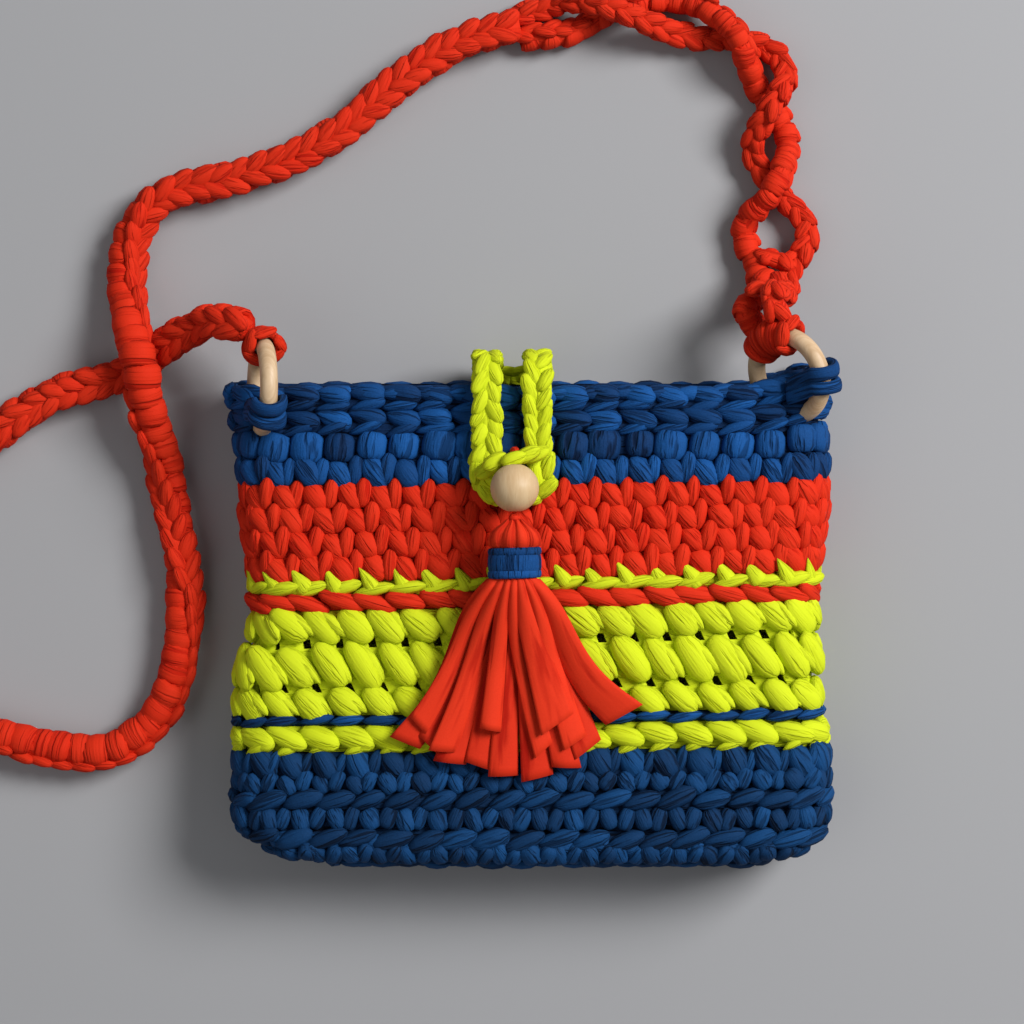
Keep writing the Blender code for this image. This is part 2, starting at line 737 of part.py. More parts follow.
def make_strip(number, low_u, high_u, layer, length):
    """One jersey strip from the head's top to its own cut end."""
    margin = gap / 2
    rings = []
    for bundle in head_bundles:
        ring = []
        for u, side in ((low_u, 1), (high_u, -1)):
            x = bead_x + u * bundle.half_width + side * margin
            inner, outer = strip_cell(u, layer, bundle)
            ring.append((x, inner, outer))
        middle_u = (low_u + high_u) / 2
        inner, outer = strip_cell(middle_u, layer, bundle)
        middle_x = bead_x + middle_u * bundle.half_width
        rings.append([Vector((ring[0][0], bundle.y, ring[0][1])),
                      Vector((ring[0][0], bundle.y, ring[0][2])),
                      Vector((middle_x, bundle.y, outer)),
                      Vector((ring[1][0], bundle.y, ring[1][2])),
                      Vector((ring[1][0], bundle.y, ring[1][1]))])
    neck = head_bundles[-1]
    for run in [skirt_length * share for share in skirt_stations] + [length]:
        settle = ease(run / (skirt_length * skirt_landing))
        level = neck.z + (hem_z - neck.z) * settle
        depth = neck.half_depth + (strip_thickness + gap / 2 - neck.half_depth) * settle
        ring = []
        for u, side, fold in ((low_u, 1, 0.0), (middle_u, 0, strip_fold), (high_u, -1, 0.0)):
            flatness = max(1.0 - (roundness * (1.0 - settle) * u) ** 2, 0.0)
            reach = depth * math.sqrt(flatness)
            angle = u * skirt_fan
            x = bead_x + u * neck.half_width + run * math.sin(angle) + side * margin
            y = neck.y - run * math.cos(angle)
            raised = fold * strip_thickness * settle if layer > 0 else 0.0
            ring.append((Vector((x, y, level + layer * gap / 2)),
                         Vector((x, y, level + layer * reach + raised))))
        rings.append([ring[0][0], ring[0][1], ring[1][1], ring[2][1], ring[2][0]])
    return loft("tassel_strand_%02d" % number, rings, red)


lengths = random.Random(strip_seed)
strip_number = 0
for k in range(strand_columns):
    strip_number += 1
    low = -1.0 + 2.0 * k / strand_columns
    make_strip(strip_number, low, low + 2.0 / strand_columns, -1,
               skirt_length * lengths.uniform(*low_strip_shares))
for k in range(strand_columns - 1):
    strip_number += 1
    width = 2.0 / (strand_columns - top_column_share)
    low = -(strand_columns - 1) * width / 2 + k * width
    make_strip(strip_number, low, low + width, 1,
               skirt_length * lengths.uniform(*top_strip_shares))

wrap_rings = []
wrap_profile = [(0.0, 0.0)]
for k in range(wrap_turns):
    wrap_profile += [((k + 0.2) / wrap_turns, 0.9), ((k + 0.8) / wrap_turns, 0.9),
                     ((k + 1.0) / wrap_turns, 0.5 if k + 1 < wrap_turns else 0.0)]
for step in range(wrap_steps):
    turn = math.tau * step / wrap_steps
    ring = []
    for share, size in wrap_profile:
        grow = gap + wrap_thickness * size
        z = wrap_z + wrap_slope * (1.0 - share)
        ring.append(Vector((bead_x + (neck_half_width / roundness + grow) * math.cos(turn),
                            wrap_top_y - gap - (wrap_height - 2 * gap) * share,
                            z + (neck_half_depth + grow) * math.sin(turn))))
    wrap_rings.append(ring)
loft("tassel_wrap", wrap_rings, navy, closed=True)


# Strap: one thick crocheted cord, and the two strands that its other part is twisted from
def make_cord(name, points, radius):
    """Round cord along a run of points, with filled ends."""
    curve = bpy.data.curves.new(name, "CURVE")
    curve.dimensions = "3D"
    curve.bevel_depth = radius
    curve.bevel_resolution = cord_bevel_resolution
    curve.use_fill_caps = True
    spline = curve.splines.new("POLY")
    spline.points.add(len(points) - 1)
    for target, point in zip(spline.points, points):
        target.co = (*point[:3], 1.0)
    curve.materials.append(red)
    cord = bpy.data.objects.new(name, curve)
    bpy.context.collection.objects.link(cord)
    return cord


rest = strap_radius + gap
over = 3 * strap_radius + 2 * gap + crossing_play
eye_reach = ring_radius + ring_section + ring_play + eye_thickness + gap
strap_leaves = Vector((-0.78, 0.62, 0.0)).normalized()
strap_exit = on_ring(left_ring, 0.0, ring_radius) + strap_leaves * (eye_reach - ring_radius)
fork = Vector((0.0010, 0.2598, rest))
fork_heading = Vector((0.97, 0.22, 0.0)).normalized()
strap_route = [tuple(strap_exit + strap_leaves * strap_bend_start), (-0.132, 0.1295, 0.0318),
               (-0.143, 0.127, 0.0225), (-0.154, 0.121, 0.0140), (-0.166, 0.113, rest),
               (-0.181, 0.106, rest), (-0.196, 0.102, rest), (-0.211, 0.096, rest),
               (-0.226, 0.086, rest), (-0.246, 0.072, rest), (-0.276, 0.062, rest),
               (-0.302, 0.046, rest), (-0.315, 0.018, rest), (-0.309, -0.012, rest),
               (-0.285, -0.033, rest), (-0.256, -0.043, rest), (-0.230, -0.048, rest),
               (-0.209, -0.053, rest), (-0.187, -0.055, rest), (-0.168, -0.048, rest),
               (-0.156, -0.032, rest), (-0.150, -0.010, rest), (-0.149, 0.015, rest),
               (-0.152, 0.045, rest), (-0.157, 0.070, 0.0095), (-0.162, 0.092, 0.0180),
               (-0.166, 0.113, over), (-0.171, 0.130, 0.0175), (-0.174, 0.147, 0.0090),
               (-0.173, 0.163, rest), (-0.166, 0.178, rest), (-0.153, 0.188, rest),
               (-0.129, 0.193, rest), (-0.103, 0.201, rest), (-0.081, 0.213, rest),
               (-0.062, 0.229, rest), (-0.044, 0.243, rest), (-0.023, 0.2535, rest),
               tuple(fork - fork_heading * 2.5 * fork_lead)]
strap_end = fork - fork_heading * (fork_lead + gap)
make_cord("strap_main", [strap_exit] + smooth_route(strap_route, strap_stations) + [strap_end],
          strap_radius)

# The twisted pair's middle line, with half the spacing of the strands and their turn
low = strand_radius + gap
pair_route = [(fork.x, fork.y, low, 0.0056, 0.0), (0.013, 0.262, low, 0.0068, 0.0),
              (0.036, 0.265, low, 0.0064, 0.5), (0.066, 0.263, low, 0.0070, 1.0),
              (0.090, 0.253, low, 0.0064, 1.5), (0.104, 0.240, low, 0.0082, 2.0),
              (0.106, 0.224, low, 0.0064, 2.5), (0.1055, 0.207, low, 0.0075, 3.0),
              (0.107, 0.190, low, 0.0068, 3.5), (0.108, 0.170, low, 0.0145, 4.0),
              (0.107, 0.154, 0.0090, 0.0075, 4.0), (0.1055, 0.142, 0.0210, 0.0058, 4.0)]
strand_stations = smooth_route(pair_route, pair_stations)
strand_points = {1: [], -1: []}
for k, (x, y, z, half, turn) in enumerate(strand_stations):
    before = strand_stations[max(k - 1, 0)]
    after = strand_stations[min(k + 1, len(strand_stations) - 1)]
    across = Vector((before[1] - after[1], after[0] - before[0], 0.0)).normalized()
    angle = turn * math.pi
    for side in (1, -1):
        spread = side * half * math.cos(angle)
        raised = (2 * strand_radius + 2 * gap) * max(side * math.sin(angle), 0.0)
        strand_points[side].append(Vector((x, y, z + raised)) + across * spread)
for side, name in ((1, "strap_strand_a"), (-1, "strap_strand_b")):
    end = on_ring(right_ring, side * strand_place, eye_reach + strand_seat)
    lead = on_ring(right_ring, side * strand_place * strand_place_share,
                   eye_reach + strand_lead)
    start = strand_points[side][0] - fork_heading * fork_lead
    run = smooth_route(strand_points[side] + [lead, end], strand_stations_count)
    make_cord(name, [start] + run, strand_radius)
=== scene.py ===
"""Crossbody bag crocheted in thick jersey yarn: its looks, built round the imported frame."""
import math
from functools import lru_cache

import bmesh
import bpy
import numpy as np
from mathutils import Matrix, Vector


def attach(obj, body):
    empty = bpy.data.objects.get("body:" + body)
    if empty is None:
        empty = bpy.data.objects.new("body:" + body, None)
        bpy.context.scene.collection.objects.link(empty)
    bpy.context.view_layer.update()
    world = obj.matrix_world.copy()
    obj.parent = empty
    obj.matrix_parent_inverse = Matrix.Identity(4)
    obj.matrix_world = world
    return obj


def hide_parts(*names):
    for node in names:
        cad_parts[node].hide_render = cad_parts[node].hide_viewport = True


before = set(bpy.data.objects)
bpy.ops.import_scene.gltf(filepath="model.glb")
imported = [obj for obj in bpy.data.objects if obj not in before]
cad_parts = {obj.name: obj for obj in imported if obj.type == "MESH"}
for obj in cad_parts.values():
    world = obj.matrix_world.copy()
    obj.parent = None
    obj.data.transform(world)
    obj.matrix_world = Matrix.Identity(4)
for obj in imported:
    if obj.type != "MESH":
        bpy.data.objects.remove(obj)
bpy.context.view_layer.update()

# Studio. The bag lies on its back on a pale floor and is seen from straight above, lit by a
# wide soft lamp from the right and a weaker one from the left.
scene = bpy.context.scene
scene.view_settings.view_transform = "Standard"

camera = bpy.data.objects.new("camera", bpy.data.cameras.new("camera"))
scene.collection.objects.link(camera)
camera.data.lens = 88.6
camera.location = (-0.0065, 0.0484, 1.100)
scene.camera = camera

floor_half = 2.5
floor_mesh = bpy.data.meshes.new("floor")
floor_mesh.from_pydata([(-floor_half, -floor_half, 0.0), (floor_half, -floor_half, 0.0),
                        (floor_half, floor_half, 0.0), (-floor_half, floor_half, 0.0)], [],
                       [(0, 1, 2, 3)])
floor = bpy.data.objects.new("floor", floor_mesh)
scene.collection.objects.link(floor)
floor_paint = bpy.data.materials.new("floor_paint")
floor_paint.use_nodes = True
floor_shader = floor_paint.node_tree.nodes["Principled BSDF"]
floor_shader.inputs["Base Color"].default_value = (0.32, 0.32, 0.33, 1.0)
floor_shader.inputs["Roughness"].default_value = 0.9
floor_mesh.materials.append(floor_paint)

for place, size, power in (((1.50, 0.93, 1.59), 1.0, 74.0), ((-0.9, -0.3, 1.3), 1.2, 3.8)):
    lamp = bpy.data.objects.new("lamp", bpy.data.lights.new("lamp", "AREA"))
    lamp.data.size = size
    lamp.data.energy = power
    lamp.location = place
    lamp.rotation_euler = (-Vector(place)).to_track_quat("-Z", "Y").to_euler()
    scene.collection.objects.link(lamp)

scene.world = bpy.data.worlds.new("studio")
scene.world.use_nodes = True
sky = scene.world.node_tree.nodes["Background"]
sky.inputs["Color"].default_value = (0.95, 0.97, 1.0, 1.0)
sky.inputs["Strength"].default_value = 0.20

# Strap. A thick cord crocheted from jersey yarn: fat bars of yarn lie across it on one side and
# a chain of overlapping leaf-shaped lobes runs down the other. It leaves the left ring, lies on
# the floor in a loop and crosses over itself; its right part is twisted from two thinner cords.


class Value:
    """One socket of a node tree; arithmetic on it adds Math nodes."""

    def __init__(self, tree, socket):
        self.tree = tree
        self.socket = socket

    def join(self, operation, first, second):
        return self.tree.add("ShaderNodeMath", {"operation": operation}, {0: first, 1: second})

    def __add__(self, other):
        return self.join("ADD", self, other)

    def __mul__(self, other):
        return self.join("MULTIPLY", self, other)

    def __sub__(self, other):
        return self.join("SUBTRACT", self, other)

    def __rsub__(self, other):
        return self.join("SUBTRACT", other, self)

    def __pow__(self, other):
        return self.join("POWER", self, other)

    __radd__ = __add__
    __rmul__ = __mul__


class Tree:
    """A node tree, with one way to add a node."""

    def __init__(self, tree):
        self.tree = tree

    def add(self, kind, settings=None, sockets=None, output=0):
        node = self.tree.nodes.new(kind)
        for name, setting in (settings or {}).items():
            setattr(node, name, setting)
        for name, value in (sockets or {}).items():
            if isinstance(value, Value):
                self.tree.links.new(value.socket, node.inputs[name])
            else:
                node.inputs[name].default_value = value
        return Value(self, node.outputs[output] if node.outputs else None)


def new_finish(name):
    """A new material and the tree that its pattern is made in."""
    material = bpy.data.materials.new(name)
    material.use_nodes = True
    return material, Tree(material.node_tree)


def feed_shader(material, colour, normal, rough, specular):
    """Feeds a material's shader from the ends of its pattern."""
    shader = material.node_tree.nodes["Principled BSDF"]
    for name, value in (("Base Color", colour), ("Normal", normal), ("Roughness", rough)):
        material.node_tree.links.new(value.socket, shader.inputs[name])
    shader.inputs["Specular IOR Level"].default_value = specular
    return material


def jersey(name, colour, crease_shade, shade, bump, contrast=1.0):
    """Cotton jersey yarn: creased lengthwise with painted shade in the creases, lighter and darker
    from turn to turn.
    """
    material, tree = new_finish(name)
    run = tree.add("ShaderNodeAttribute", {"attribute_name": "yarn"}, output=1)
    turn = tree.add("ShaderNodeAttribute", {"attribute_name": "shade"}, output=2)
    stretched = tree.add("ShaderNodeVectorMath", {"operation": "MULTIPLY"},
                         {0: run, 1: (0.6, 2.1, 2.1)})
    creases = tree.add("ShaderNodeTexNoise", {"noise_dimensions": "4D"},
                       {"Vector": stretched, "W": turn * 37.0, "Scale": 1.0, "Detail": 2.5,
                        "Roughness": 0.6, "Distortion": 0.35})
    fine = tree.add("ShaderNodeTexNoise", {"noise_dimensions": "4D"},
                    {"Vector": stretched, "W": turn * 11.0, "Scale": 3.4, "Detail": 1.0})
    knit = tree.add("ShaderNodeTexCoord", {}, output=3)
    nap = tree.add("ShaderNodeTexNoise", {}, {"Vector": knit, "Scale": 1400.0, "Detail": 1.0})
    depth = tree.add("ShaderNodeMapRange", {"interpolation_type": "SMOOTHSTEP"},
                     {"Value": creases, "From Min": 0.34, "From Max": 0.48})
    # Painted shade: where lit is low, mostly in the creases, the colour goes to the darker crease
    # colour.
    lit = (depth * 0.55 + turn * 0.28 + nap * 0.17) ** contrast
    crease_shaded = tree.add("ShaderNodeMix", {"data_type": "RGBA"},
                    {0: lit, 6: (*crease_shade, 1.0), 7: (*colour, 1.0)}, output=2)
    # Each turn a little darker by its shade value, on top of the painted crease shade.
    toned_crease_shaded = tree.add("ShaderNodeMix", {"data_type": "RGBA"},
                    {0: turn * shade, 6: crease_shaded, 7: (*[c * 0.72 for c in colour], 1.0)}, output=2)
    normal = tree.add("ShaderNodeBump", {}, {"Strength": 0.85, "Distance": bump,
                                             "Height": depth * 0.60 + fine * 0.35 + nap * 0.08})
    return feed_shader(material, toned_crease_shaded, normal, 0.92 - depth * 0.14, 0.12)


# For each yarn its colour, the darker colour painted into its creases as painted shade, how much it
# varies from turn to turn, how deep its creases look and how soon the painted shade darkens them.
red_jersey = jersey("red_jersey", (0.705, 0.030, 0.007), (0.390, 0.003, 0.0005), 0.45, 0.0010)
navy_jersey = jersey("navy_jersey", (0.010, 0.106, 0.375), (0.001, 0.004, 0.016), 0.50, 0.0014, 4.2)
# The same navy yarn again, darker: painted shade on the bottom rounds.
shaded_navy_jersey = jersey("shaded_navy_jersey", (0.007, 0.068, 0.215), (0.001, 0.004, 0.013), 0.50, 0.0014, 3.2)
yellow_jersey = jersey("yellow_jersey", (0.605, 0.700, 0.016), (0.500, 0.575, 0.006), 0.30, 0.0009)


def around(count):
    """Angles that go once round in even steps."""
    return [math.tau * step / count for step in range(count)]


def bridge(shape, first, second):
    """Faces between two rings of points."""
    for corner in range(len(first)):
        after = (corner + 1) % len(first)
        shape.faces.new((first[corner], first[after], second[after], second[corner]))


def skin(shape, rings, closed=False):
    """Faces along a run of rings, which is capped at both ends if it isn't closed."""
    for first, second in zip(rings, rings[1:]):
        bridge(shape, first, second)
    if closed:
        bridge(shape, rings[-1], rings[0])
    else:
        shape.faces.new(rings[0])
        shape.faces.new(rings[-1])


def to_mesh(shape, name):
    """Turns a shape into a smooth mesh with its faces outwards."""
    bmesh.ops.recalc_face_normals(shape, faces=shape.faces)
    mesh = bpy.data.meshes.new(name)
    shape.to_mesh(mesh)
    shape.free()
    mesh.shade_smooth()
    return mesh


lobe_sides = 8


def make_lobe(name, profile, folded, bend=0.0, slim=1.0):
    """One visible turn of yarn, a unit long; it can bend round a cord, slim for its length."""
    shape = bmesh.new()
    yarn = shape.verts.layers.float_vector.new("yarn")
    rings = []
    for share, size in profile:
        ring = []
        for corner, turn in enumerate(around(lobe_sides)):
            reach = size * (folded if corner % 2 else 1.0) / 2
            along, out = share - 0.5, math.sin(turn) * reach
            if bend:
                radius, spin = 1.0 / bend + slim * out, bend * along
                along, out = radius * math.sin(spin), (radius * math.cos(spin) - 1.0 / bend) / slim
            point = shape.verts.new((along, math.cos(turn) * reach, out))
            point[yarn] = (share, math.cos(turn), math.sin(turn))
            ring.append(point)
        rings.append(ring)
    skin(shape, rings)
    return bpy.data.objects.new(name, to_mesh(shape, name))


# Each lobe's width at shares of its length, how full its corners are, and how it bends.
drop = make_lobe("drop", ((0.0, 0.16), (0.14, 0.52), (0.38, 0.86), (0.64, 1.0), (0.84, 0.90),
                          (0.96, 0.54), (1.0, 0.16)), 0.97)
lens = make_lobe("lens", ((0.0, 0.10), (0.13, 0.52), (0.32, 0.90), (0.55, 1.0), (0.78, 0.82),
                          (0.93, 0.42), (1.0, 0.10)), 0.95)
plump = make_lobe("plump", ((0.0, 0.26), (0.09, 0.64), (0.28, 0.92), (0.52, 1.0), (0.76, 0.93),
                            (0.93, 0.60), (1.0, 0.20)), 1.02)
thorn = make_lobe("thorn", ((0.0, 0.05), (0.16, 0.30), (0.40, 0.62), (0.64, 0.88), (0.84, 1.0),
                            (0.95, 0.80), (1.0, 0.36)), 0.95)
pad = make_lobe("pad", ((0.0, 0.44), (0.06, 0.76), (0.24, 0.96), (0.50, 1.0), (0.76, 0.96),
                        (0.94, 0.76), (1.0, 0.44)), 1.12)
sleeve = make_lobe("sleeve", ((0.0, 0.50), (0.04, 0.80), (0.14, 0.97), (0.28, 1.0), (0.40, 1.02),
                              (0.52, 1.0), (0.64, 1.02), (0.76, 1.0), (0.88, 0.97), (0.96, 0.80),
                              (1.0, 0.50)), 1.0, 4.7, 0.165)


def stitch_tree():
    """Nodes that lay one lobe of yarn for each stitch along a guide line."""
    group = bpy.data.node_groups.new("stitches_on_a_line", "GeometryNodeTree")
    kinds = (("Made", "Geometry"), ("Guide", "Object"), ("Lobe", "Object"), ("Stitches", "Int"),
             ("Shift", "Float"), ("Rise", "Float"), ("Lift", "Float"), ("Length", "Float"),
             ("Width", "Float"), ("Thickness", "Float"), ("Lean", "Float"), ("Pitch", "Float"),
             ("Turn", "Float"), ("Uneven", "Float"), ("Seed", "Int"), ("Yarn", "Material"))
    for name, kind in kinds:
        group.interface.new_socket(name, in_out="INPUT", socket_type="NodeSocket" + kind)
    group.interface.new_socket("Result", in_out="OUTPUT", socket_type="NodeSocketGeometry")
    tree = Tree(group)
    source = tree.add("NodeGroupInput").socket.node
    given = {socket.name: Value(tree, socket) for socket in source.outputs if socket.name}

    guide = tree.add("GeometryNodeObjectInfo", {}, {"Object": given["Guide"]}, output=4)
    curve = tree.add("GeometryNodeMeshToCurve", {}, {0: guide})
    points = tree.add("GeometryNodeCurveToPoints", {"mode": "COUNT"},
                      {"Curve": curve, "Count": given["Stitches"]})
    tangent = Value(tree, points.socket.node.outputs["Tangent"])
    out = tree.add("GeometryNodeInputNamedAttribute", {"data_type": "FLOAT_VECTOR"},
                   {"Name": "outward"})
    back = tree.add("ShaderNodeVectorMath", {"operation": "SCALE"}, {0: tangent, "Scale": -1.0})
    lying = tree.add("FunctionNodeAxesToRotation", {"primary_axis": "Z", "secondary_axis": "X"},
                     {0: out, 1: back})
    turned = tree.add("ShaderNodeCombineXYZ", {}, {0: given["Turn"]})
    roll = tree.add("FunctionNodeEulerToRotation", {}, {0: turned})
    base = tree.add("FunctionNodeRotateRotation", {"rotation_space": "LOCAL"}, {0: lying, 1: roll})

    def chance(low, high, more):
        return tree.add("FunctionNodeRandomValue", {"data_type": "FLOAT"},
                        {2: low, 3: high, "Seed": given["Seed"] + more}, output=1)

    uneven = given["Uneven"]
    offset = tree.add("ShaderNodeCombineXYZ", {},
                      {0: given["Shift"] + uneven * chance(-0.006, 0.006, 1),
                       1: given["Rise"] + uneven * chance(-0.005, 0.005, 2),
                       2: given["Lift"] + uneven * chance(-0.004, 0.004, 3)})
    moved = tree.add("FunctionNodeRotateVector", {}, {0: offset, 1: base})
    lean = tree.add("ShaderNodeCombineXYZ", {},
                    {1: given["Pitch"], 2: given["Lean"] + uneven * chance(-0.8, 0.8, 4)})
    leaned = tree.add("FunctionNodeEulerToRotation", {}, {0: lean})
    way = tree.add("FunctionNodeRotateRotation", {"rotation_space": "LOCAL"}, {0: base, 1: leaned})
    size = tree.add("ShaderNodeCombineXYZ", {},
                    {0: given["Length"] * (1.0 + uneven * chance(-0.6, 0.6, 5)),
                     1: given["Width"] * (1.0 + uneven * chance(-0.8, 0.8, 6)),
                     2: given["Thickness"]})
    lobe = tree.add("GeometryNodeObjectInfo", {}, {"Object": given["Lobe"]}, output=4)
    laid = tree.add("GeometryNodeInstanceOnPoints", {},
                    {"Points": points, "Instance": lobe, "Rotation": way, "Scale": size})
    placed = tree.add("GeometryNodeTranslateInstances", {},
                      {"Instances": laid, "Translation": moved, "Local Space": False})
    shaded = tree.add("GeometryNodeStoreNamedAttribute",
                      {"data_type": "FLOAT", "domain": "INSTANCE"},
                      {"Geometry": placed, "Name": "shade", "Value": chance(0.15, 1.0, 7)})
    joined = tree.add("GeometryNodeJoinGeometry")
    for part in (given["Made"], shaded):
        group.links.new(part.socket, joined.socket.node.inputs[0])
    real = tree.add("GeometryNodeRealizeInstances", {}, {"Geometry": joined})
    crease_shaded = tree.add("GeometryNodeSetMaterial", {}, {"Geometry": real, "Material": given["Yarn"]})
    tree.add("NodeGroupOutput", {}, {0: crease_shaded})
    return group


stitches_on_a_line = stitch_tree()
mm = 0.001
unevenness = 0.14
round_seeds = 50
lay_seeds = 9
floor_clearance = 0.0002


def make_guide(stations, closed=True):
    """A line through (place, direction out of the fabric) stations."""
    mesh = bpy.data.meshes.new("guide")
    edges = [(k, k + 1) for k in range(len(stations) - 1)]
    if closed:
        edges.append((len(stations) - 1, 0))
    mesh.from_pydata([tuple(place[:3]) for place, out in stations], edges, [])
    outward = mesh.attributes.new("outward", "FLOAT_VECTOR", "POINT")
    outward.data.foreach_set("vector", [c for place, out in stations for c in out])
    return bpy.data.objects.new("guide", mesh)


def crochet(piece, guide, yarn, count, lays, seed):
    """Adds the lobes of one round or cord, lay by lay: a lay is a lobe's shape, how far it is
    shifted, raised and stands out, its length, width and thickness in mm and its lean in
    degrees, and for some also the lift of its head and its turn."""
    for number, (lobe, shift, rise, top, length, width, thick, lean, *more) in enumerate(lays):
        pitch, turn = more or (0.0, 0.0)
        modifier = piece.modifiers.new("stitches", "NODES")
        modifier.node_group = stitches_on_a_line
        wanted = {"Guide": guide, "Lobe": lobe, "Stitches": count, "Shift": shift * mm,
                  "Rise": rise * mm, "Lift": (top - thick / 2) * mm, "Length": length * mm,
                  "Width": width * mm, "Thickness": thick * mm, "Lean": math.radians(lean),
                  "Pitch": math.radians(pitch), "Turn": math.radians(turn), "Uneven": unevenness,
                  "Seed": seed * round_seeds + number * lay_seeds, "Yarn": yarn}
        for socket in stitches_on_a_line.interface.items_tree:
            if socket.in_out == "INPUT" and socket.name in wanted:
                modifier[socket.identifier] = wanted[socket.name]


def settle(piece):
    """Turns a piece's live stitches into plain mesh, pressed flat where it lies on the floor."""
    graph = bpy.context.evaluated_depsgraph_get()
    mesh = bpy.data.meshes.new_from_object(piece.evaluated_get(graph))
    places = np.empty(3 * len(mesh.vertices))
    mesh.vertices.foreach_get("co", places)
    places[2::3] = np.maximum(places[2::3], floor_clearance)
    mesh.vertices.foreach_set("co", places)
    piece.modifiers.clear()
    piece.data = mesh


def add_piece(name, mesh, material):
    """Links a mesh as a piece at the origin, in one material."""
    piece = bpy.data.objects.new(name, mesh)
    scene.collection.objects.link(piece)
    mesh.materials.append(material)
    return piece


def loft(name, runs, material, closed=False, run_length=0.015, across=1.0, shade_level=None):
    """Skins runs of point rings; the yarn's run and turn go with the points."""
    shape = bmesh.new()
    yarn = shape.verts.layers.float_vector.new("yarn")
    shade = shape.verts.layers.float.new("shade")
    for number, rings in enumerate(runs):
        rows, run = [], 0.0
        for k, ring in enumerate(rings):
            if k:
                run += (sum(ring, Vector()) - sum(rings[k - 1], Vector())).length / len(ring)
            row = [shape.verts.new(point) for point in ring]
            for vert, turn in zip(row, around(len(row))):
                vert[yarn] = (run / run_length, across * math.cos(turn), across * math.sin(turn))
                vert[shade] = shade_level or (0.35 + 0.23 * number) % 1.0
            rows.append(row)
        skin(shape, rows, closed)
    return add_piece(name, to_mesh(shape, name), material)


def dress(piece, body, node):
    """Puts a finished piece on its body, in place of its node."""
    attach(piece, body)
    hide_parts(node)


def smooth_route(points, count, closed=False):
    """Evenly spaced points on a smooth curve through the given ones."""
    size = len(points)
    dense = []
    for span in range(size if closed else size - 1):
        near = [k % size if closed else min(max(k, 0), size - 1)
                for k in range(span - 1, span + 3)]
        for t in (step / 16 for step in range(16)):
            dense.append([0.5 * (2 * b + (c - a) * t + (2 * a - 5 * b + 4 * c - d) * t * t
                                 + (3 * b - a - 3 * c + d) * t ** 3)
                          for a, b, c, d in zip(*(points[k] for k in near))])
    dense.append(list(points[0] if closed else points[-1]))
    columns = np.array(dense).T
    steps = np.sqrt((np.diff(columns[:3]) ** 2).sum(axis=0))
    lengths = np.concatenate(([0.0], np.cumsum(steps)))
    targets = lengths[-1] * np.arange(count) / (count if closed else count - 1)
    return np.array([np.interp(targets, lengths, column) for column in columns]).T.tolist()


def ring_frame(at, turn, lean):
    """A ring's centre and its directions: up to the strap, out over the front, and its axis."""
    up = Vector((-math.sin(turn), math.cos(turn), 0.0))
    flat = Vector((math.cos(turn), math.sin(turn), 0.0))
    out = flat * math.sin(lean) + Vector((0.0, 0.0, math.cos(lean)))
    return Vector(at), up, out, up.cross(out)


def on_ring(ring, angle, radius, side=0.0):
    """A point at a turn of a ring, at a distance from its centre and beside its plane."""
    at, up, out, axis = ring
    return at + (up * math.cos(angle) + out * math.sin(angle)) * radius + axis * side


# Where each ring is, how far it is turned across the front and how far it leans over it.
left_ring = ring_frame((-0.1118, 0.1013, 0.0376), 0.0, math.radians(15.0))
right_ring = ring_frame((0.1103, 0.1060, 0.0370), math.radians(23.0), math.radians(41.5))
ring_radius = 0.0173
eye_reach = 0.02615


def path_length(points):
    """Length of a run of points."""
    return sum(math.dist(first[:3], second[:3]) for first, second in zip(points, points[1:]))


def heading(points, k):
    """Direction of a run of points at one of them."""
    before, after = points[max(k - 1, 0)], points[min(k + 1, len(points) - 1)]
    return (Vector(after[:3]) - Vector(before[:3])).normalized()


def beside_and_above(points, k):
    """Directions across a cord and up out of it at one of its points."""
    along = heading(points, k)
    right = along.cross(Vector((0.0, 0.0, 1.0))).normalized()
    return right, right.cross(along)


def cord_guide(points, facing):
    """Guide along a cord; facing lists the turn of its chain about it at shares of its length."""
    stations = []
    total = path_length(points)
    for k, point in enumerate(points):
        right, up = beside_and_above(points, k)
        turn = math.radians(np.interp(path_length(points[:k + 1]) / total, *zip(*facing)))
        stations.append((point, up * math.cos(turn) + right * math.sin(turn)))
    return make_guide(stations, closed=False)


def oval(middle, across, up, corners):
    """Ring of points round a middle, from the two half widths of a yarn's section."""
    return [middle + across * math.cos(turn) + up * math.sin(turn) for turn in around(corners)]


def cord_core(name, points, radius, material):
    """Inner tube of a cord, rounded off at both ends."""
    rings = []
    for k, point in enumerate(points):
        right, up = beside_and_above(points, k)
        size = radius * (0.85 if k in (0, len(points) - 1) else 1.0)
        rings.append(oval(Vector(point[:3]), right * size, up * size, 10))
    return loft(name, [rings], material)


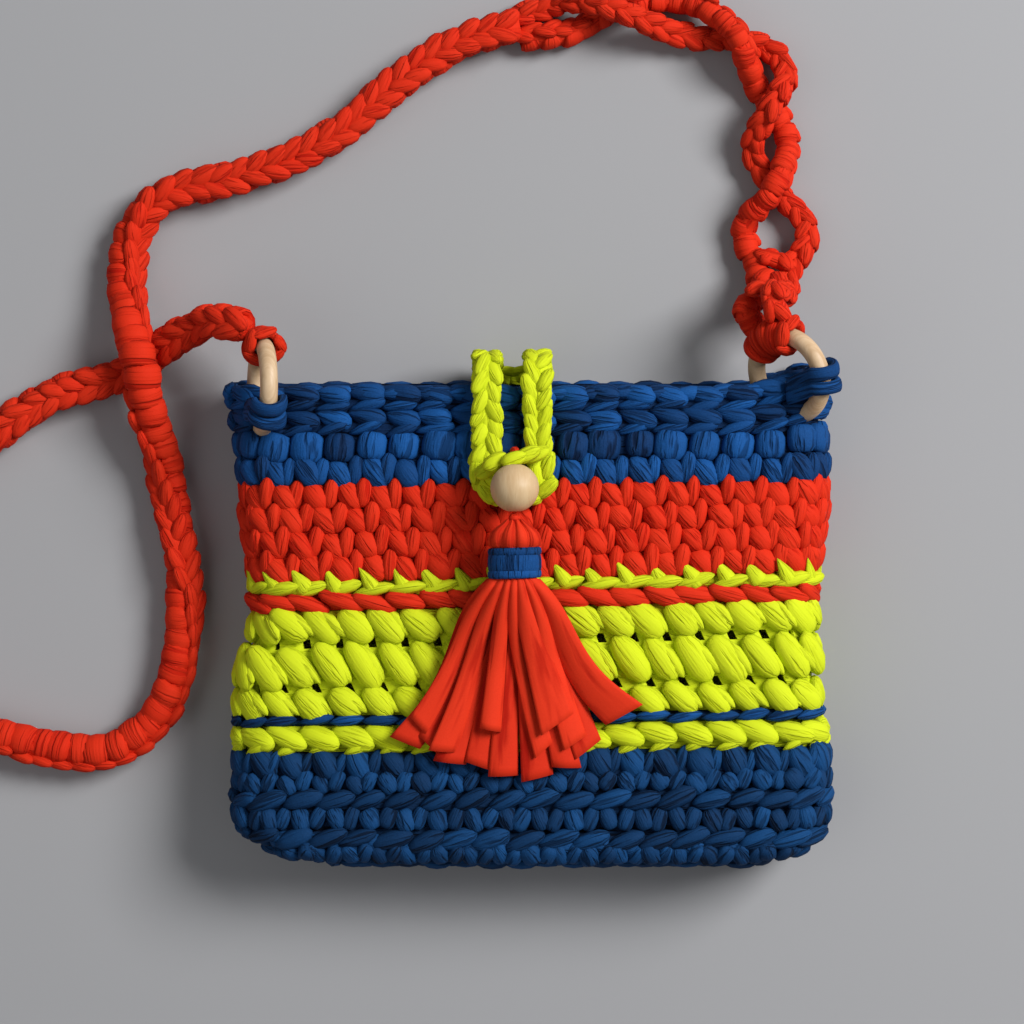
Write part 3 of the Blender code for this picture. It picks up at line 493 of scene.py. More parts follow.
strap_radius = 0.00775
strap_core_radius = strap_radius - 0.0016
strap_pitch = 0.0083
strand_radius = 0.00525
strand_core_radius = strand_radius - 0.0009
strand_pitch = 0.0082
gap = 0.0003
rest = strap_radius + gap
crossing_play = 0.0006
over = 3 * strap_radius + 2 * gap + crossing_play
strap_leaves = Vector((-0.78, 0.62, 0.0)).normalized()
strap_exit = on_ring(left_ring, 0.0, ring_radius) + strap_leaves * (eye_reach - ring_radius)
strap_lead = 0.0055
fork = Vector((0.0010, 0.2598, rest))
fork_heading = Vector((0.97, 0.22, 0.0)).normalized()
fork_lead = 0.0040
strap_points = [tuple(strap_exit + strap_leaves * strap_lead), (-0.132, 0.1295, 0.0318),
                (-0.143, 0.127, 0.0225), (-0.154, 0.121, 0.0140), (-0.166, 0.113, rest),
                (-0.181, 0.106, rest), (-0.196, 0.102, rest), (-0.211, 0.096, rest),
                (-0.226, 0.086, rest), (-0.246, 0.072, rest), (-0.276, 0.062, rest),
                (-0.302, 0.046, rest), (-0.315, 0.018, rest), (-0.309, -0.012, rest),
                (-0.285, -0.033, rest), (-0.256, -0.043, rest), (-0.230, -0.048, rest),
                (-0.209, -0.053, rest), (-0.187, -0.055, rest), (-0.168, -0.048, rest),
                (-0.156, -0.032, rest), (-0.150, -0.010, rest), (-0.149, 0.015, rest),
                (-0.152, 0.045, rest), (-0.157, 0.070, 0.0095), (-0.162, 0.092, 0.0180),
                (-0.166, 0.113, over), (-0.171, 0.130, 0.0175), (-0.174, 0.147, 0.0090),
                (-0.173, 0.163, rest), (-0.166, 0.178, rest), (-0.153, 0.188, rest),
                (-0.129, 0.193, rest), (-0.103, 0.201, rest), (-0.081, 0.213, rest),
                (-0.062, 0.229, rest), (-0.044, 0.243, rest), (-0.023, 0.2535, rest),
                tuple(fork - fork_heading * 2.5 * fork_lead)]
strap_route = ([tuple(strap_exit)] + smooth_route(strap_points, 120)
               + [tuple(fork - fork_heading * (fork_lead + gap))])
# How far round the strap its chain lies, in degrees from the top, at shares of the length.
strap_facing = ((0.0, -10.0), (0.15, -15.0), (0.30, 20.0), (0.45, 100.0), (0.54, 110.0),
                (0.575, 70.0), (0.61, 0.0), (0.65, -60.0), (0.68, -120.0), (0.735, -275.0),
                (0.80, -345.0), (1.0, -365.0))
strap_lays = [(sleeve, 0.0, 0.0, 7.8, 26.3, 11.4, 4.4, 83.0, 0.0, 180.0),
              (plump, 0.0, -2.9, 8.2, 13.8, 7.6, 5.6, 24.0, 3.0, 0.0),
              (plump, 3.0, 2.9, 8.2, 13.8, 7.6, 5.6, -24.0, 3.0, 0.0)]
strap_main = cord_core("strap_main_cord", strap_route, strap_core_radius, red_jersey)
strap_length = path_length(strap_route)
crochet(strap_main, cord_guide(strap_route[1:-1], strap_facing), red_jersey,
        round(strap_length / strap_pitch), strap_lays, 1)
settle(strap_main)
dress(strap_main, "root", "strap_main")

low = strand_radius + gap
# The two strands' middle line, half their distance apart, and the half turns of their twist.
pair_points = [(fork.x, fork.y, low, 0.0056, 0.0), (0.013, 0.262, low, 0.0068, 0.0),
               (0.036, 0.265, low, 0.0064, 0.5), (0.066, 0.263, low, 0.0070, 1.0),
               (0.090, 0.253, low, 0.0064, 1.5), (0.104, 0.240, low, 0.0082, 2.0),
               (0.106, 0.224, low, 0.0064, 2.5), (0.1055, 0.207, low, 0.0075, 3.0),
               (0.107, 0.190, low, 0.0068, 3.5), (0.108, 0.170, low, 0.0145, 4.0),
               (0.107, 0.154, 0.0090, 0.0075, 4.0), (0.1055, 0.142, 0.0210, 0.0058, 4.0)]
pair_stations = smooth_route(pair_points, 27)
strand_lays = [(sleeve, 0.0, 0.0, 5.3, 18.0, 10.8, 3.0, 80.0, 0.0, 180.0),
               (plump, 0.0, -1.8, 5.7, 11.2, 5.9, 4.8, 20.0, 2.0, 0.0),
               (plump, 3.0, 1.8, 5.7, 11.2, 5.9, 4.8, -20.0, 2.0, 0.0)]
strand_spread = math.radians(17.0)
strand_lead = 0.0085
strand_seat = 0.0010
for side, name, facing in ((1, "strap_strand_a", ((0.0, 15.0),)),
                           (-1, "strap_strand_b", ((0.0, -30.0), (0.6, -150.0)))):
    strand = []
    for k, (x, y, z, half, turns) in enumerate(pair_stations):
        along = heading(pair_stations, k)
        across = Vector((-along.y, along.x, 0.0)).normalized()
        angle = turns * math.pi
        raised = 2 * (strand_radius + gap) * max(side * math.sin(angle), 0.0)
        strand.append(Vector((x, y, z + raised)) + across * side * half * math.cos(angle))
    place = side * strand_spread
    lead = on_ring(right_ring, place * 0.85, eye_reach + strand_lead)
    seat = on_ring(right_ring, place, eye_reach + strand_seat)
    strand_route = [tuple(strand[0] - fork_heading * fork_lead)]
    strand_route += smooth_route(strand + [lead, seat], 58)
    length = path_length(strand_route)
    cord = cord_core(name + "_cord", strand_route, strand_core_radius, red_jersey)
    crochet(cord, cord_guide(strand_route[1:], facing), red_jersey,
            round(length / strand_pitch), strand_lays, 2 + side)
    settle(cord)
    dress(cord, "root", name)

# Body. Crocheted in the round from thick jersey yarn, bottom up, one colour after another, forty
# stitches to a round. Each visible turn of yarn is a lobe on a darker wall; the back, the sides
# and the front are the same rounds. Two rounds of eyelets go through the yellow rows.
body_width = 0.2590
mouth_depth = 0.0440
base_depth = 0.0520
front_crown = 0.0030
stitches_round = 40
base_y = -0.1011
body_height = 0.2022
rim_y = base_y + body_height
left_corner = 0.0400
right_corner = 0.0280
corner_height = 0.0240
edge_round = 0.0120
side_round = 0.0200
side_rise = 0.0028
rim_lift = 0.0030
corner_pull = 0.0085
pulled_width = 0.0420
wall_thickness = 0.0100
# Row by row, bottom up: its height in mm, how many columns it leans by, and where it starts.
row_heights = (8.6, 8.4, 8.2, 8.4, 16.3, 11.3, 4.2, 12.1, 18.8, 13.7, 6.7, 5.9,
               9.8, 9.8, 9.8, 9.8, 10.4, 10.4, 9.8, 9.8)
row_leans = (0, -1, 0, -1, 0, 1, -0.5, 1, 1, 1, 1, -1, 0, 0, 0, 0, 0, 0, 0, 0)
row_shifts = (0, 1, 0, 1, 0, 0, 0, 0, 0, 0, 0, 0, 0, 0.48, 0.96, 1.44, 1.8, 2.1, 0.2, 0.2)
levels = [base_y]
phases = [0.0]
for height, lean in zip(row_heights, row_leans):
    levels.append(levels[-1] + height * mm)
    phases.append(phases[-1] + lean)


def ease(t):
    """Smooth step from 0 to 1."""
    t = min(max(t, 0.0), 1.0)
    return t * t * (3.0 - 2.0 * t)


def between(stations, at):
    """Smooth value at a place between (place, value) stations."""
    for (start, first), (end, second) in zip(stations, stations[1:]):
        if at <= end:
            return first + (second - first) * ease((at - start) / (end - start))
    return stations[-1][1]


# How far each side is drawn in at shares of the height.
left_pinch = ((0.0, 0.0035), (0.385, 0.0035), (0.554, 0.0105), (0.764, 0.0060), (1.0, 0.0))
right_pinch = ((0.0, 0.0), (0.195, 0.0), (0.385, 0.0030), (0.554, 0.0046), (0.764, 0.0),
               (1.0, 0.0))


def limits(y):
    """Left, right, back and front of the body's crests at a height, and its side radius."""
    share = (y - base_y) / body_height

    def rounding(height):
        """Share that a quarter round of this height at the base takes off here."""
        return 1.0 - math.sqrt(max(1.0 - max(1.0 - (y - base_y) / height, 0.0) ** 2, 0.0))

    corner, back = rounding(corner_height), edge_round * rounding(edge_round)
    left = -body_width / 2 + between(left_pinch, share) + left_corner * corner
    right = body_width / 2 - between(right_pinch, share) - right_corner * corner
    front = base_depth + (mouth_depth - base_depth) * share - front_crown - back
    return left, right, back, front, min(side_round, (front - back) * 0.495)


def front_surface(x, y):
    """Height of the front's crests at a place."""
    left, right, back, front, radius = limits(y)
    half = (right - left) / 2 - radius
    offset = x - (left + right) / 2
    if abs(offset) < half:
        return front + front_crown * (1.0 - (offset / half) ** 2)
    past = min(abs(offset) - half, radius)
    return front - radius + math.sqrt(radius ** 2 - past ** 2)


@lru_cache(maxsize=None)
def section(y):
    """Outline through the crests at a height, from the back's middle, and its running length."""
    left, right, back, front, radius = limits(y)
    middle = (left + right) / 2
    half = (right - left) / 2 - radius
    outline = [(middle, back)]
    for x, z, start in ((middle + half, back + radius, -90), (middle + half, front - radius, 0),
                        (middle - half, front - radius, 90), (middle - half, back + radius, 180)):
        for step in range(9):
            angle = math.radians(start + step * 90 / 8)
            outline.append((x + radius * math.cos(angle), z + radius * math.sin(angle)))
        if start == 0:
            for step in range(1, 16):
                offset = half * (1 - step / 8)
                outline.append((middle + offset,
                                front + front_crown * (1.0 - (offset / half) ** 2)))
    outline.append((middle, back))
    points = np.array(outline)
    steps = np.hypot(*np.diff(points, axis=0).T)
    return points, np.concatenate(([0.0], np.cumsum(steps)))


def crest(column, y):
    """Point of the body's surface at a column of stitches and a height."""
    points, lengths = section(y)
    target = lengths[-1] * ((column / (2 * stitches_round)) % 1.0)
    x = np.interp(target, lengths, points[:, 0])
    z = np.interp(target, lengths, points[:, 1])
    share = (y - base_y) / body_height
    rise = side_rise * math.sin(math.pi * share) ** 2 * 2 * x / body_width
    lift = rim_lift * max(2 * share - 1, 0.0) ** 2 * (1 - z / mouth_depth)
    near_corner = ease((x - body_width / 2 + pulled_width) / pulled_width)
    pull = corner_pull * ease((share - 0.8) / 0.2) * near_corner
    return Vector((x, y + rise + lift + pull, z))


def out_of(column, y):
    """Direction out of the fabric."""
    along = crest(column + 0.6, y) - crest(column - 0.6, y)
    nudge = 0.0015
    above, below = min(y + nudge, rim_y), max(y - nudge, base_y + 0.0002)
    rising = crest(column, above) - crest(column, below)
    return rising.cross(along).normalized()


def round_columns(start=0.0):
    """Columns once round the body from a start, three for each stitch."""
    return [start + k * 2 / 3 for k in range(3 * stitches_round)]


def round_guide(row, share=0.5, inside=False):
    """Guide round the body along a row, starting at the middle of one of its stitches."""
    y = levels[row] + row_heights[row] * mm * share
    stations = [(crest(column, y), out_of(column, y))
                for column in round_columns(phases[row] + row_leans[row] * share + row_shifts[row])]
    if inside:
        stations = [(place - out * wall_thickness, -out) for place, out in stations]
    return make_guide(stations)


def rim_guide(share):
    """Guide along the top edge of the mouth, at a share of the wall's depth."""
    return make_guide([(crest(column, rim_y) - out_of(column, rim_y) * wall_thickness * share,
                        Vector((0.0, 1.0, 0.0))) for column in round_columns()])


def base_guide(share):
    """Guide round the underside, at a share of the way in from its edge."""
    left, right, back, front = limits(base_y)[:4]
    half = (front - back) / 2
    stations = []
    for column in round_columns():
        edge = crest(column, base_y)
        middle = Vector((min(max(edge.x, left + half), right - half), base_y, back + half))
        out = Vector((0.0, -1.0, 0.0)) + (edge - middle) * 30.0 * (1 - share) ** 3
        stations.append((edge.lerp(middle, share), out.normalized()))
    return make_guide(stations)


# How deep in mm a wall lies under the crests: at its ends, between rows and behind a row. Its
# outer and inner depths add up to the last value.
end_depth, groove_depth, row_depth, both_depths = 5.6, 5.2, 4.2, 15.0
band_gap = 0.00015
eyelet_below = 0.0020
eyelet_above = 0.0019
# How fast the yarn's creases pass over a wall, for a column and for a metre up and through it.
creases_along, creases_up, creases_through = 0.6, 300.0, 200.0


def make_wall(name, first, last, material, eyelet_levels):
    """Closed wall behind a band's lobes, with square eyelets at some boundaries."""
    columns = (4 if eyelet_levels else 2) * stitches_round
    stations = [(levels[first] + (band_gap if first else 0.0), end_depth)]
    holes = []
    for row in range(first, last + 1):
        if row in eyelet_levels:
            holes.append(len(stations))
            stations += [(levels[row] - eyelet_below, groove_depth),
                         (levels[row] + eyelet_above, groove_depth)]
        elif row > first:
            stations.append((levels[row], groove_depth))
        stations.append(((levels[row] + levels[row + 1]) / 2, row_depth))
    stations.append((levels[last + 1] - band_gap, end_depth))
    shape = bmesh.new()
    # Its points get no shade value, so the yarn comes out darker here than on the lobes: painted
    # shade in the gaps between them.
    yarn = shape.verts.layers.float_vector.new("yarn")
    outer, inner = [], []
    for y, depth in stations:
        phase = float(np.interp(y, levels, phases))
        outer.append([])
        inner.append([])
        for k in range(columns):
            column = phase + k * 2 * stitches_round / columns
            point, out = crest(column, y), out_of(column, y)
            for side, deep in ((outer, depth * mm), (inner, (both_depths - depth) * mm)):
                if side is inner and first == 0:
                    point = crest(column, max(y, base_y + wall_thickness))
                    out = out_of(column, max(y, base_y + edge_round))
                vert = shape.verts.new(point - out * deep)
                vert[yarn] = (k * creases_along, y * creases_up, deep * creases_through)
                side[-1].append(vert)
    for level in range(len(stations) - 1):
        for k in range(columns):
            n = (k + 1) % columns
            corners = [(level, k), (level, n), (level + 1, n), (level + 1, k)]
            if level in holes and k % 4 == 2:
                for (a, p), (b, q) in zip(corners, corners[1:] + corners[:1]):
                    shape.faces.new((outer[a][p], outer[b][q], inner[b][q], inner[a][p]))
            else:
                shape.faces.new([outer[a][p] for a, p in corners])
                shape.faces.new([inner[a][p] for a, p in corners])
    if first == 0:
        shape.faces.new(outer[0])
        shape.faces.new(inner[0])
    else:
        bridge(shape, outer[0], inner[0])
    bridge(shape, outer[-1], inner[-1])
    return add_piece(name, to_mesh(shape, name), material)


# What the rows are laid from, bottom up and lobe by lobe.
small_lobes = [(pad, -3.5, 0.0, 0.0, 9.8, 8.4, 7.2, -66.0),
               (pad, 3.4, 0.2, -0.1, 9.4, 7.4, 6.8, 64.0)]
braid = [(plump, 0.0, 0.0, 0.8, 17.4, 7.6, 7.2, 20.0, -6.0, 0.0)]
tall_bumps = [(plump, -0.6, 3.0, 0.5, 15.0, 12.0, 8.8, -60.0, 3.0, 0.0),
              (lens, 5.4, 3.0, -0.3, 12.5, 6.0, 6.4, 68.0),
              (pad, -3.4, -5.4, 0.1, 8.8, 8.4, 7.4, -56.0),
              (pad, 3.4, -4.4, -0.1, 8.8, 7.0, 6.8, 60.0)]
fat_chain = [(plump, 0.0, 0.6, 0.9, 18.5, 9.4, 8.0, -20.0, -7.0, 0.0),
             (lens, 2.0, -3.8, 0.3, 13.0, 5.0, 6.0, 24.0)]
thin_chain = [(lens, 0.0, 0.0, 0.2, 15.5, 5.4, 6.0, 6.0, -4.0, 0.0)]
lattice_low = [(plump, 0.0, -0.8, 0.5, 16.8, 11.4, 7.6, -44.0),
               (lens, 4.6, -0.6, -0.2, 13.6, 5.4, 5.6, -46.0)]
lattice_middle = [(plump, 0.0, 0.0, 0.6, 22.2, 11.8, 7.8, -52.0),
                  (lens, 4.6, 0.2, -0.1, 17.4, 6.0, 6.0, -55.0)]
lattice_top = [(plump, 0.0, 0.9, 0.5, 18.6, 11.8, 7.8, -44.0),
               (lens, 4.6, 1.6, -0.2, 14.6, 5.4, 5.6, -47.0)]
red_chain = [(plump, 0.0, 0.0, 0.6, 19.0, 8.0, 7.4, -15.0, 6.0, 0.0)]
spikes = [(lens, 0.0, -0.8, 0.9, 18.5, 6.2, 6.4, 11.0, -5.0, 0.0),
          (thorn, -2.8, 3.2, 1.1, 12.5, 7.6, 4.8, -56.0, 4.0, 0.0)]
red_vees = [(plump, -2.1, -0.4, 0.3, 13.8, 10.8, 8.6, -52.0),
            (plump, 4.0, 1.0, 0.3, 13.6, 7.0, 7.2, 79.0, -4.0, 0.0)]
navy_vees = [(plump, -2.1, -0.5, 0.2, 13.8, 11.0, 8.6, -54.0),
             (plump, 4.0, 0.6, 0.2, 12.8, 7.0, 7.2, 80.0, -3.0, 0.0)]
barrels = [(pad, 0.0, 0.2, 0.2, 12.2, 14.0, 8.8, 80.0)]
chevrons = [(drop, 0.0, 1.9, 0.4, 17.0, 8.4, 7.4, -14.0, -9.0, 0.0),
            (drop, -0.5, -3.0, 0.0, 16.0, 5.6, 6.6, 14.0, -9.0, 0.0)]
row_lays = (small_lobes, braid, small_lobes, braid, tall_bumps, fat_chain, thin_chain,
            lattice_low, lattice_middle, lattice_top, red_chain, spikes, red_vees, red_vees,
            red_vees, red_vees, navy_vees, barrels, chevrons, chevrons)
edge_lays = [(pad, 0.0, 0.0, -2.2, 11.0, 9.0, 7.0, -20.0)]
base_lays = [(lens, 0.0, 0.0, 0.6, 17.0, 7.8, 7.0, 12.0, -4.0, 0.0)]
# The underside's rounds: how far in from its edge, and how many stitches.
base_rounds = ((0.08, 34), (0.42, 28), (0.78, 24))
rim_lays = [(lens, 0.0, 0.0, 1.2, 17.5, 8.6, 7.0, 7.0, -5.0, 0.0)]
inner_lays = [(lens, 0.0, 0.0, 0.4, 17.0, 8.0, 5.0, 8.0)]
inner_rows_from = 14
bands = (("base_cup", 0, shaded_navy_jersey, "navy_yarn", ()),
         ("lower_yellow_chain", 5, yellow_jersey, "yellow_yarn", ()),
         ("navy_chain", 6, navy_jersey, "navy_yarn", ()),
         ("yellow_lattice_band", 7, yellow_jersey, "yellow_yarn", (8, 9)),
         ("red_chain", 10, red_jersey, "red_yarn", ()),
         ("yellow_spike_chain", 11, yellow_jersey, "yellow_yarn", ()),
         ("red_band", 12, red_jersey, "red_yarn", ()),
         ("top_navy_band", 16, navy_jersey, "navy_yarn", ()))
starts = [band[1] for band in bands] + [len(row_lays)]
for (name, first, yarn, slot, eyelets), end in zip(bands, starts[1:]):
    band = make_wall(name + "_stitches", first, end - 1, yarn, eyelets)
    for row in range(first, end):
        crochet(band, round_guide(row), yarn, stitches_round, row_lays[row], 10 + row)
        if row >= inner_rows_from:
            crochet(band, round_guide(row, inside=True), yarn, stitches_round, inner_lays, 40 + row)
    if name == "base_cup":
        crochet(band, round_guide(0, 0.95), yarn, stitches_round, edge_lays, 74)
        for number, (share, count) in enumerate(base_rounds):
            crochet(band, base_guide(share), yarn, count, base_lays, 70 + number)
    if name == "top_navy_band":
        crochet(band, rim_guide(0.45), yarn, stitches_round, rim_lays, 80)
    settle(band)
    dress(band, "root", name)

# Wooden rings and their ties. Each ring is turned from pale wood and sanded. It goes through the
# front of the bag below its rim, and a navy band of two turns of yarn is sewn over its front.


def wood(name, pale, dark, grain):
    """Bare sanded wood with its grain along one direction."""
    material, tree = new_finish(name)
    place = tree.add("ShaderNodeTexCoord", {}, output=3)
    drawn = tree.add("ShaderNodeVectorMath", {"operation": "MULTIPLY"}, {0: place, 1: grain})
    streaks = tree.add("ShaderNodeTexNoise", {}, {"Vector": drawn, "Scale": 1.0, "Detail": 3.0,
                                                  "Distortion": 0.6})
    pores = tree.add("ShaderNodeTexNoise", {}, {"Vector": drawn, "Scale": 5.0, "Detail": 2.0})
    share = tree.add("ShaderNodeMapRange", {}, {"Value": streaks * 0.7 + pores * 0.3,
                                                "From Min": 0.40, "From Max": 0.62})
    colour = tree.add("ShaderNodeMix", {"data_type": "RGBA"},
                      {0: share, 6: (*pale, 1.0), 7: (*dark, 1.0)}, output=2)
    normal = tree.add("ShaderNodeBump", {}, {"Strength": 0.3, "Distance": 0.0002,
                                             "Height": 1.0 - pores})
    return feed_shader(material, colour, normal, 0.42 + share * 0.14, 0.35)


def blunt(angle, power):
    """A sine with a fuller top, for the section of yarn that is pressed."""
    return math.copysign(abs(math.sin(angle)) ** power, math.sin(angle))


ring_section = 0.00375
ring_play = 0.0006
ring_wood = wood("ring_wood", (0.595, 0.425, 0.262), (0.480, 0.315, 0.175), (60.0, 60.0, 520.0))
tie_thickness = 0.0036
tie_depth = 0.0022
tie_step = 0.0012
most_tie_steps = 12
# How far each turn of a tie is shifted along the ring, how much it slants, and its width.
tie_turns = ((-0.0034, 0.0012, 0.0074), (0.0031, -0.0010, 0.0070))
for side, ring, tie_angle in (("left", left_ring, math.radians(126.0)),
                              ("right", right_ring, math.radians(112.0))):
    run = [[on_ring(ring, spin, ring_radius + ring_section * math.cos(turn),
                    ring_section * math.sin(turn)) for turn in around(20)] for spin in around(72)]
    hoop = loft("ring_" + side + "_turned", [run], ring_wood, closed=True)
    dress(hoop, "ring_" + side + "_body", "ring_" + side)

    out, axis = ring[2:]
    reach = ring_section + ring_play + tie_thickness / 2
    middle = on_ring(ring, tie_angle, ring_radius)
    raised = on_ring(ring, tie_angle, ring_radius + 1.0) - middle
    along = axis.cross(raised).normalized()
    arch = [middle + (axis * math.cos(turn) + raised * math.sin(turn)) * reach
            for turn in (math.pi * step / 18 for step in range(19))]
    feet = []
    for foot in (arch[0], arch[-1]):
        way_down = []
        while (foot.z > front_surface(foot.x, foot.y) - tie_depth
               and len(way_down) < most_tie_steps):
            foot = foot - out * tie_step
            way_down.append(foot)
        feet.append(way_down)
    path = feet[0][::-1] + arch + feet[1]
    turns = []
    for turn, (shift, skew, width) in enumerate(tie_turns):
        run = []
        for k, point in enumerate(path):
            share = k / (len(path) - 1)
            outward = along.cross(heading(path, k)).normalized()
            if outward.dot(point - middle) < 0:
                outward = -outward
            spot = point + along * (shift + skew * (2 * share - 1)) + outward * gap * turn
            half_width = width / 2 * (0.9 + 0.1 * math.sin(9 * share))
            run.append([spot + along * half_width * math.cos(angle)
                        + outward * tie_thickness / 2 * blunt(angle, 0.7) for angle in around(14)])
        turns.append(run)
    tie = loft("ring_tie_" + side + "_yarn", turns, navy_jersey)
    dress(tie, "root", "ring_tie_" + side)

# Strap ends. The strap is worked round each ring's top as a few tight turns of yarn that the ring
# slides through: three on the left ring and five on the right one.
eye_thickness = 0.0042
lip_radius = ring_section + ring_play + eye_thickness * 0.62
lip_lays = [(plump, 0.0, 0.0, 1.5, 10.4, 5.4, 3.6, 16.0, 3.0, 0.0)]
collar = smooth_route([(0.1075, 0.1560, 0.0125), (0.1060, 0.1500, 0.0180), (0.1030, 0.1450, 0.0280),
                       (0.0990, 0.1400, 0.0360)], 12)
collar_out = Vector((0.1, 0.8, 0.6)).normalized()
collar_lays = [(plump, 0.0, -3.8, 4.2, 12.0, 8.0, 6.4, 24.0),
               (plump, 2.0, 3.8, 4.2, 12.0, 8.0, 6.4, -24.0)]
bar_out = Vector((0.1, 0.4, 0.9)).normalized()
bar_lays = [(plump, 0.0, 0.0, 4.4, 20.0, 7.4, 6.0, 82.0)]
for side, ring, half_angle, turns in (("left", left_ring, math.radians(24.0), 3),
                                      ("right", right_ring, math.radians(37.0), 5)):
    runs = []
    for turn in range(turns):
        middle = half_angle * (2 * (turn + 0.5) / turns - 1)
        half_width = half_angle / turns * 1.12
        run = []
        for spin in around(24):
            slant = 0.12 * half_width * math.cos(spin + turn)
            thick = eye_thickness * (0.92 + 0.08 * math.sin(2 * spin + 1.7 * turn))
            loop = []
            for angle in around(12):
                size = ring_section + ring_play + thick / 2 * (1 + blunt(angle, 0.8))
                loop.append(on_ring(ring, middle + slant + half_width * math.cos(angle),
                                    ring_radius + size * math.cos(spin), size * math.sin(spin)))
            run.append(loop)
        runs.append(run)
    strap_end = loft("strap_eye_" + side + "_turns", runs, red_jersey, closed=True)
    lip_angle = half_angle * 0.96
    hub = on_ring(ring, lip_angle, ring_radius)
    ahead = on_ring(ring, half_angle + 0.1, ring_radius) - on_ring(ring, half_angle, ring_radius)
    lip = []
    for spin in around(24):
        point = on_ring(ring, lip_angle, ring_radius + lip_radius * math.cos(spin),
                        lip_radius * math.sin(spin))
        lip.append((point, ((point - hub).normalized() + ahead.normalized() * 0.9).normalized()))
    crochet(strap_end, make_guide(lip), red_jersey, 5, lip_lays, 94)
    if side == "right":
        crochet(strap_end, make_guide([(point, collar_out) for point in collar], closed=False),
                red_jersey, 3, collar_lays, 92)
        crochet(strap_end, make_guide([(point, bar_out) for point in collar[:2]], closed=False),
                red_jersey, 1, bar_lays, 93)
    settle(strap_end)
    dress(strap_end, "root", "strap_eye_" + side)

# Closure loop. A flat cord crocheted in neon yellow yarn: two legs of V-shaped stitches go over
# the mouth, round the bead at their lower end, and are sewn together on the back rim.
loop_x = -0.0063
loop_width = 0.0105
loop_thickness = 0.0066
loop_pitch = 0.0072
loop_end_y = 0.0500
bead_y = 0.0583
settling = 0.0006
lying = front_surface(loop_x, loop_end_y) - settling + gap + loop_thickness / 2


def loop_side(side):
    """Half of the loop's route, from its lower end to its bar; the last value tilts it."""
    leg, wide, bulge, half = 0.0106, 0.0124, 0.0125, loop_thickness / 2
    return [(loop_x + side * wide * 0.62, loop_end_y + 0.0078, lying, 0.0),
            (loop_x + side * wide, bead_y + 0.0050, lying, 0.0),
            (loop_x + side * leg * 1.04, bead_y + 0.0165, lying, 0.0),
            (loop_x + side * leg, rim_y - 0.0130, lying - 0.0003, 0.0),
            (loop_x + side * leg, rim_y - 0.0020, mouth_depth + half + 0.0020, 0.15),
            (loop_x + side * leg, rim_y + bulge * 0.66, mouth_depth + 0.0015, 0.80),
            (loop_x + side * leg, rim_y + bulge, mouth_depth * 0.72, 1.35),
            (loop_x + side * leg, rim_y + bulge * 0.94, mouth_depth * 0.45, math.pi / 2),
            (loop_x + side * leg * 0.86, rim_y + rim_lift + half * 1.6, mouth_depth * 0.24,
             math.pi / 2)]


bar_z = mouth_depth * 0.16
bar_y = rim_y + rim_lift * (1 - bar_z / mouth_depth) + loop_thickness / 2
loop_points = [(loop_x, loop_end_y + 0.0060, lying, 0.0)] + loop_side(1)
loop_points += [(loop_x, bar_y, bar_z, math.pi / 2)] + loop_side(-1)[::-1]
loop_stations = smooth_route(loop_points, 120, closed=True)
core, guide = [], []
for k, (x, y, z, tilt) in enumerate(loop_stations):
    before, after = loop_stations[k - 1], loop_stations[(k + 1) % len(loop_stations)]
    along = (Vector(after[:3]) - Vector(before[:3])).normalized()
    out = Vector((0.0, math.sin(tilt), math.cos(tilt)))
    out = (out - along * out.dot(along)).normalized()
    point = Vector((x, y, z))
    guide.append((point, out))
    core.append(oval(point, along.cross(out) * 0.42 * loop_width, out * 0.40 * loop_thickness, 12))
loop_lays = [(plump, 0.0, -2.7, 3.4, 12.6, 6.8, 4.8, 24.0, 5.0, -10.0),
             (plump, 3.4, 2.8, 3.4, 11.6, 6.2, 4.8, -28.0, 5.0, 10.0),
             (pad, 1.0, -2.7, 3.2, 10.0, 6.4, 4.4, 20.0, 0.0, 170.0),
             (pad, 3.0, 2.7, 3.2, 10.0, 6.4, 4.4, -20.0, 0.0, 190.0)]
loop = loft("closure_loop_stitches", [core], yellow_jersey, closed=True)
crochet(loop, make_guide(guide), yellow_jersey, round(path_length(loop_stations) / loop_pitch),
        loop_lays, 90)
clasp_points = [(loop_x + x, bead_y + y, z) for x, y, z in (
    (-0.0100, 0.0080, 0.0560), (-0.0060, 0.0106, 0.0625), (0.0005, 0.0124, 0.0668),
    (0.0060, 0.0136, 0.0640), (0.0100, 0.0136, 0.0570))]
clasp = [(point, Vector((0.0, 0.15, 1.0))) for point in smooth_route(clasp_points, 16)]
clasp_lays = [(plump, 0.0, 0.0, 2.4, 11.0, 6.8, 5.2, 12.0, 4.0, 0.0)]
crochet(loop, make_guide(clasp, closed=False), yellow_jersey, 5, clasp_lays, 95)
settle(loop)
dress(loop, "root", "closure_loop")

# Bead, its cord and the knot. A turned wooden bead 20 mm across turns on a cord of red yarn that
# is sewn to the front; the cord ends in the knot that the tassel hangs from.
bead_at = Vector((-0.0054, bead_y, 0.065675))
bead_radius = 0.0100
bore_radius = 0.0024
bore_angle = math.asin(bore_radius / bead_radius)
bore_half = bead_radius * math.cos(bore_angle) * 0.97
profile = [(bore_radius * 0.96, -bore_half)]
for step in range(25):
    angle = bore_angle + (math.pi - 2 * bore_angle) * step / 24
    profile.append((bead_radius * math.sin(angle), -bead_radius * math.cos(angle)))
profile.append((bore_radius * 0.96, bore_half))
run = [[bead_at + Vector((r * math.cos(turn), y, r * math.sin(turn))) for r, y in profile]
       for turn in around(48)]
bead_wood = wood("bead_wood", (0.580, 0.415, 0.235), (0.520, 0.350, 0.185), (420.0, 60.0, 60.0))
bead = loft("bead_turned", [run], bead_wood, closed=True)
dress(bead, "bead_body", "bead")

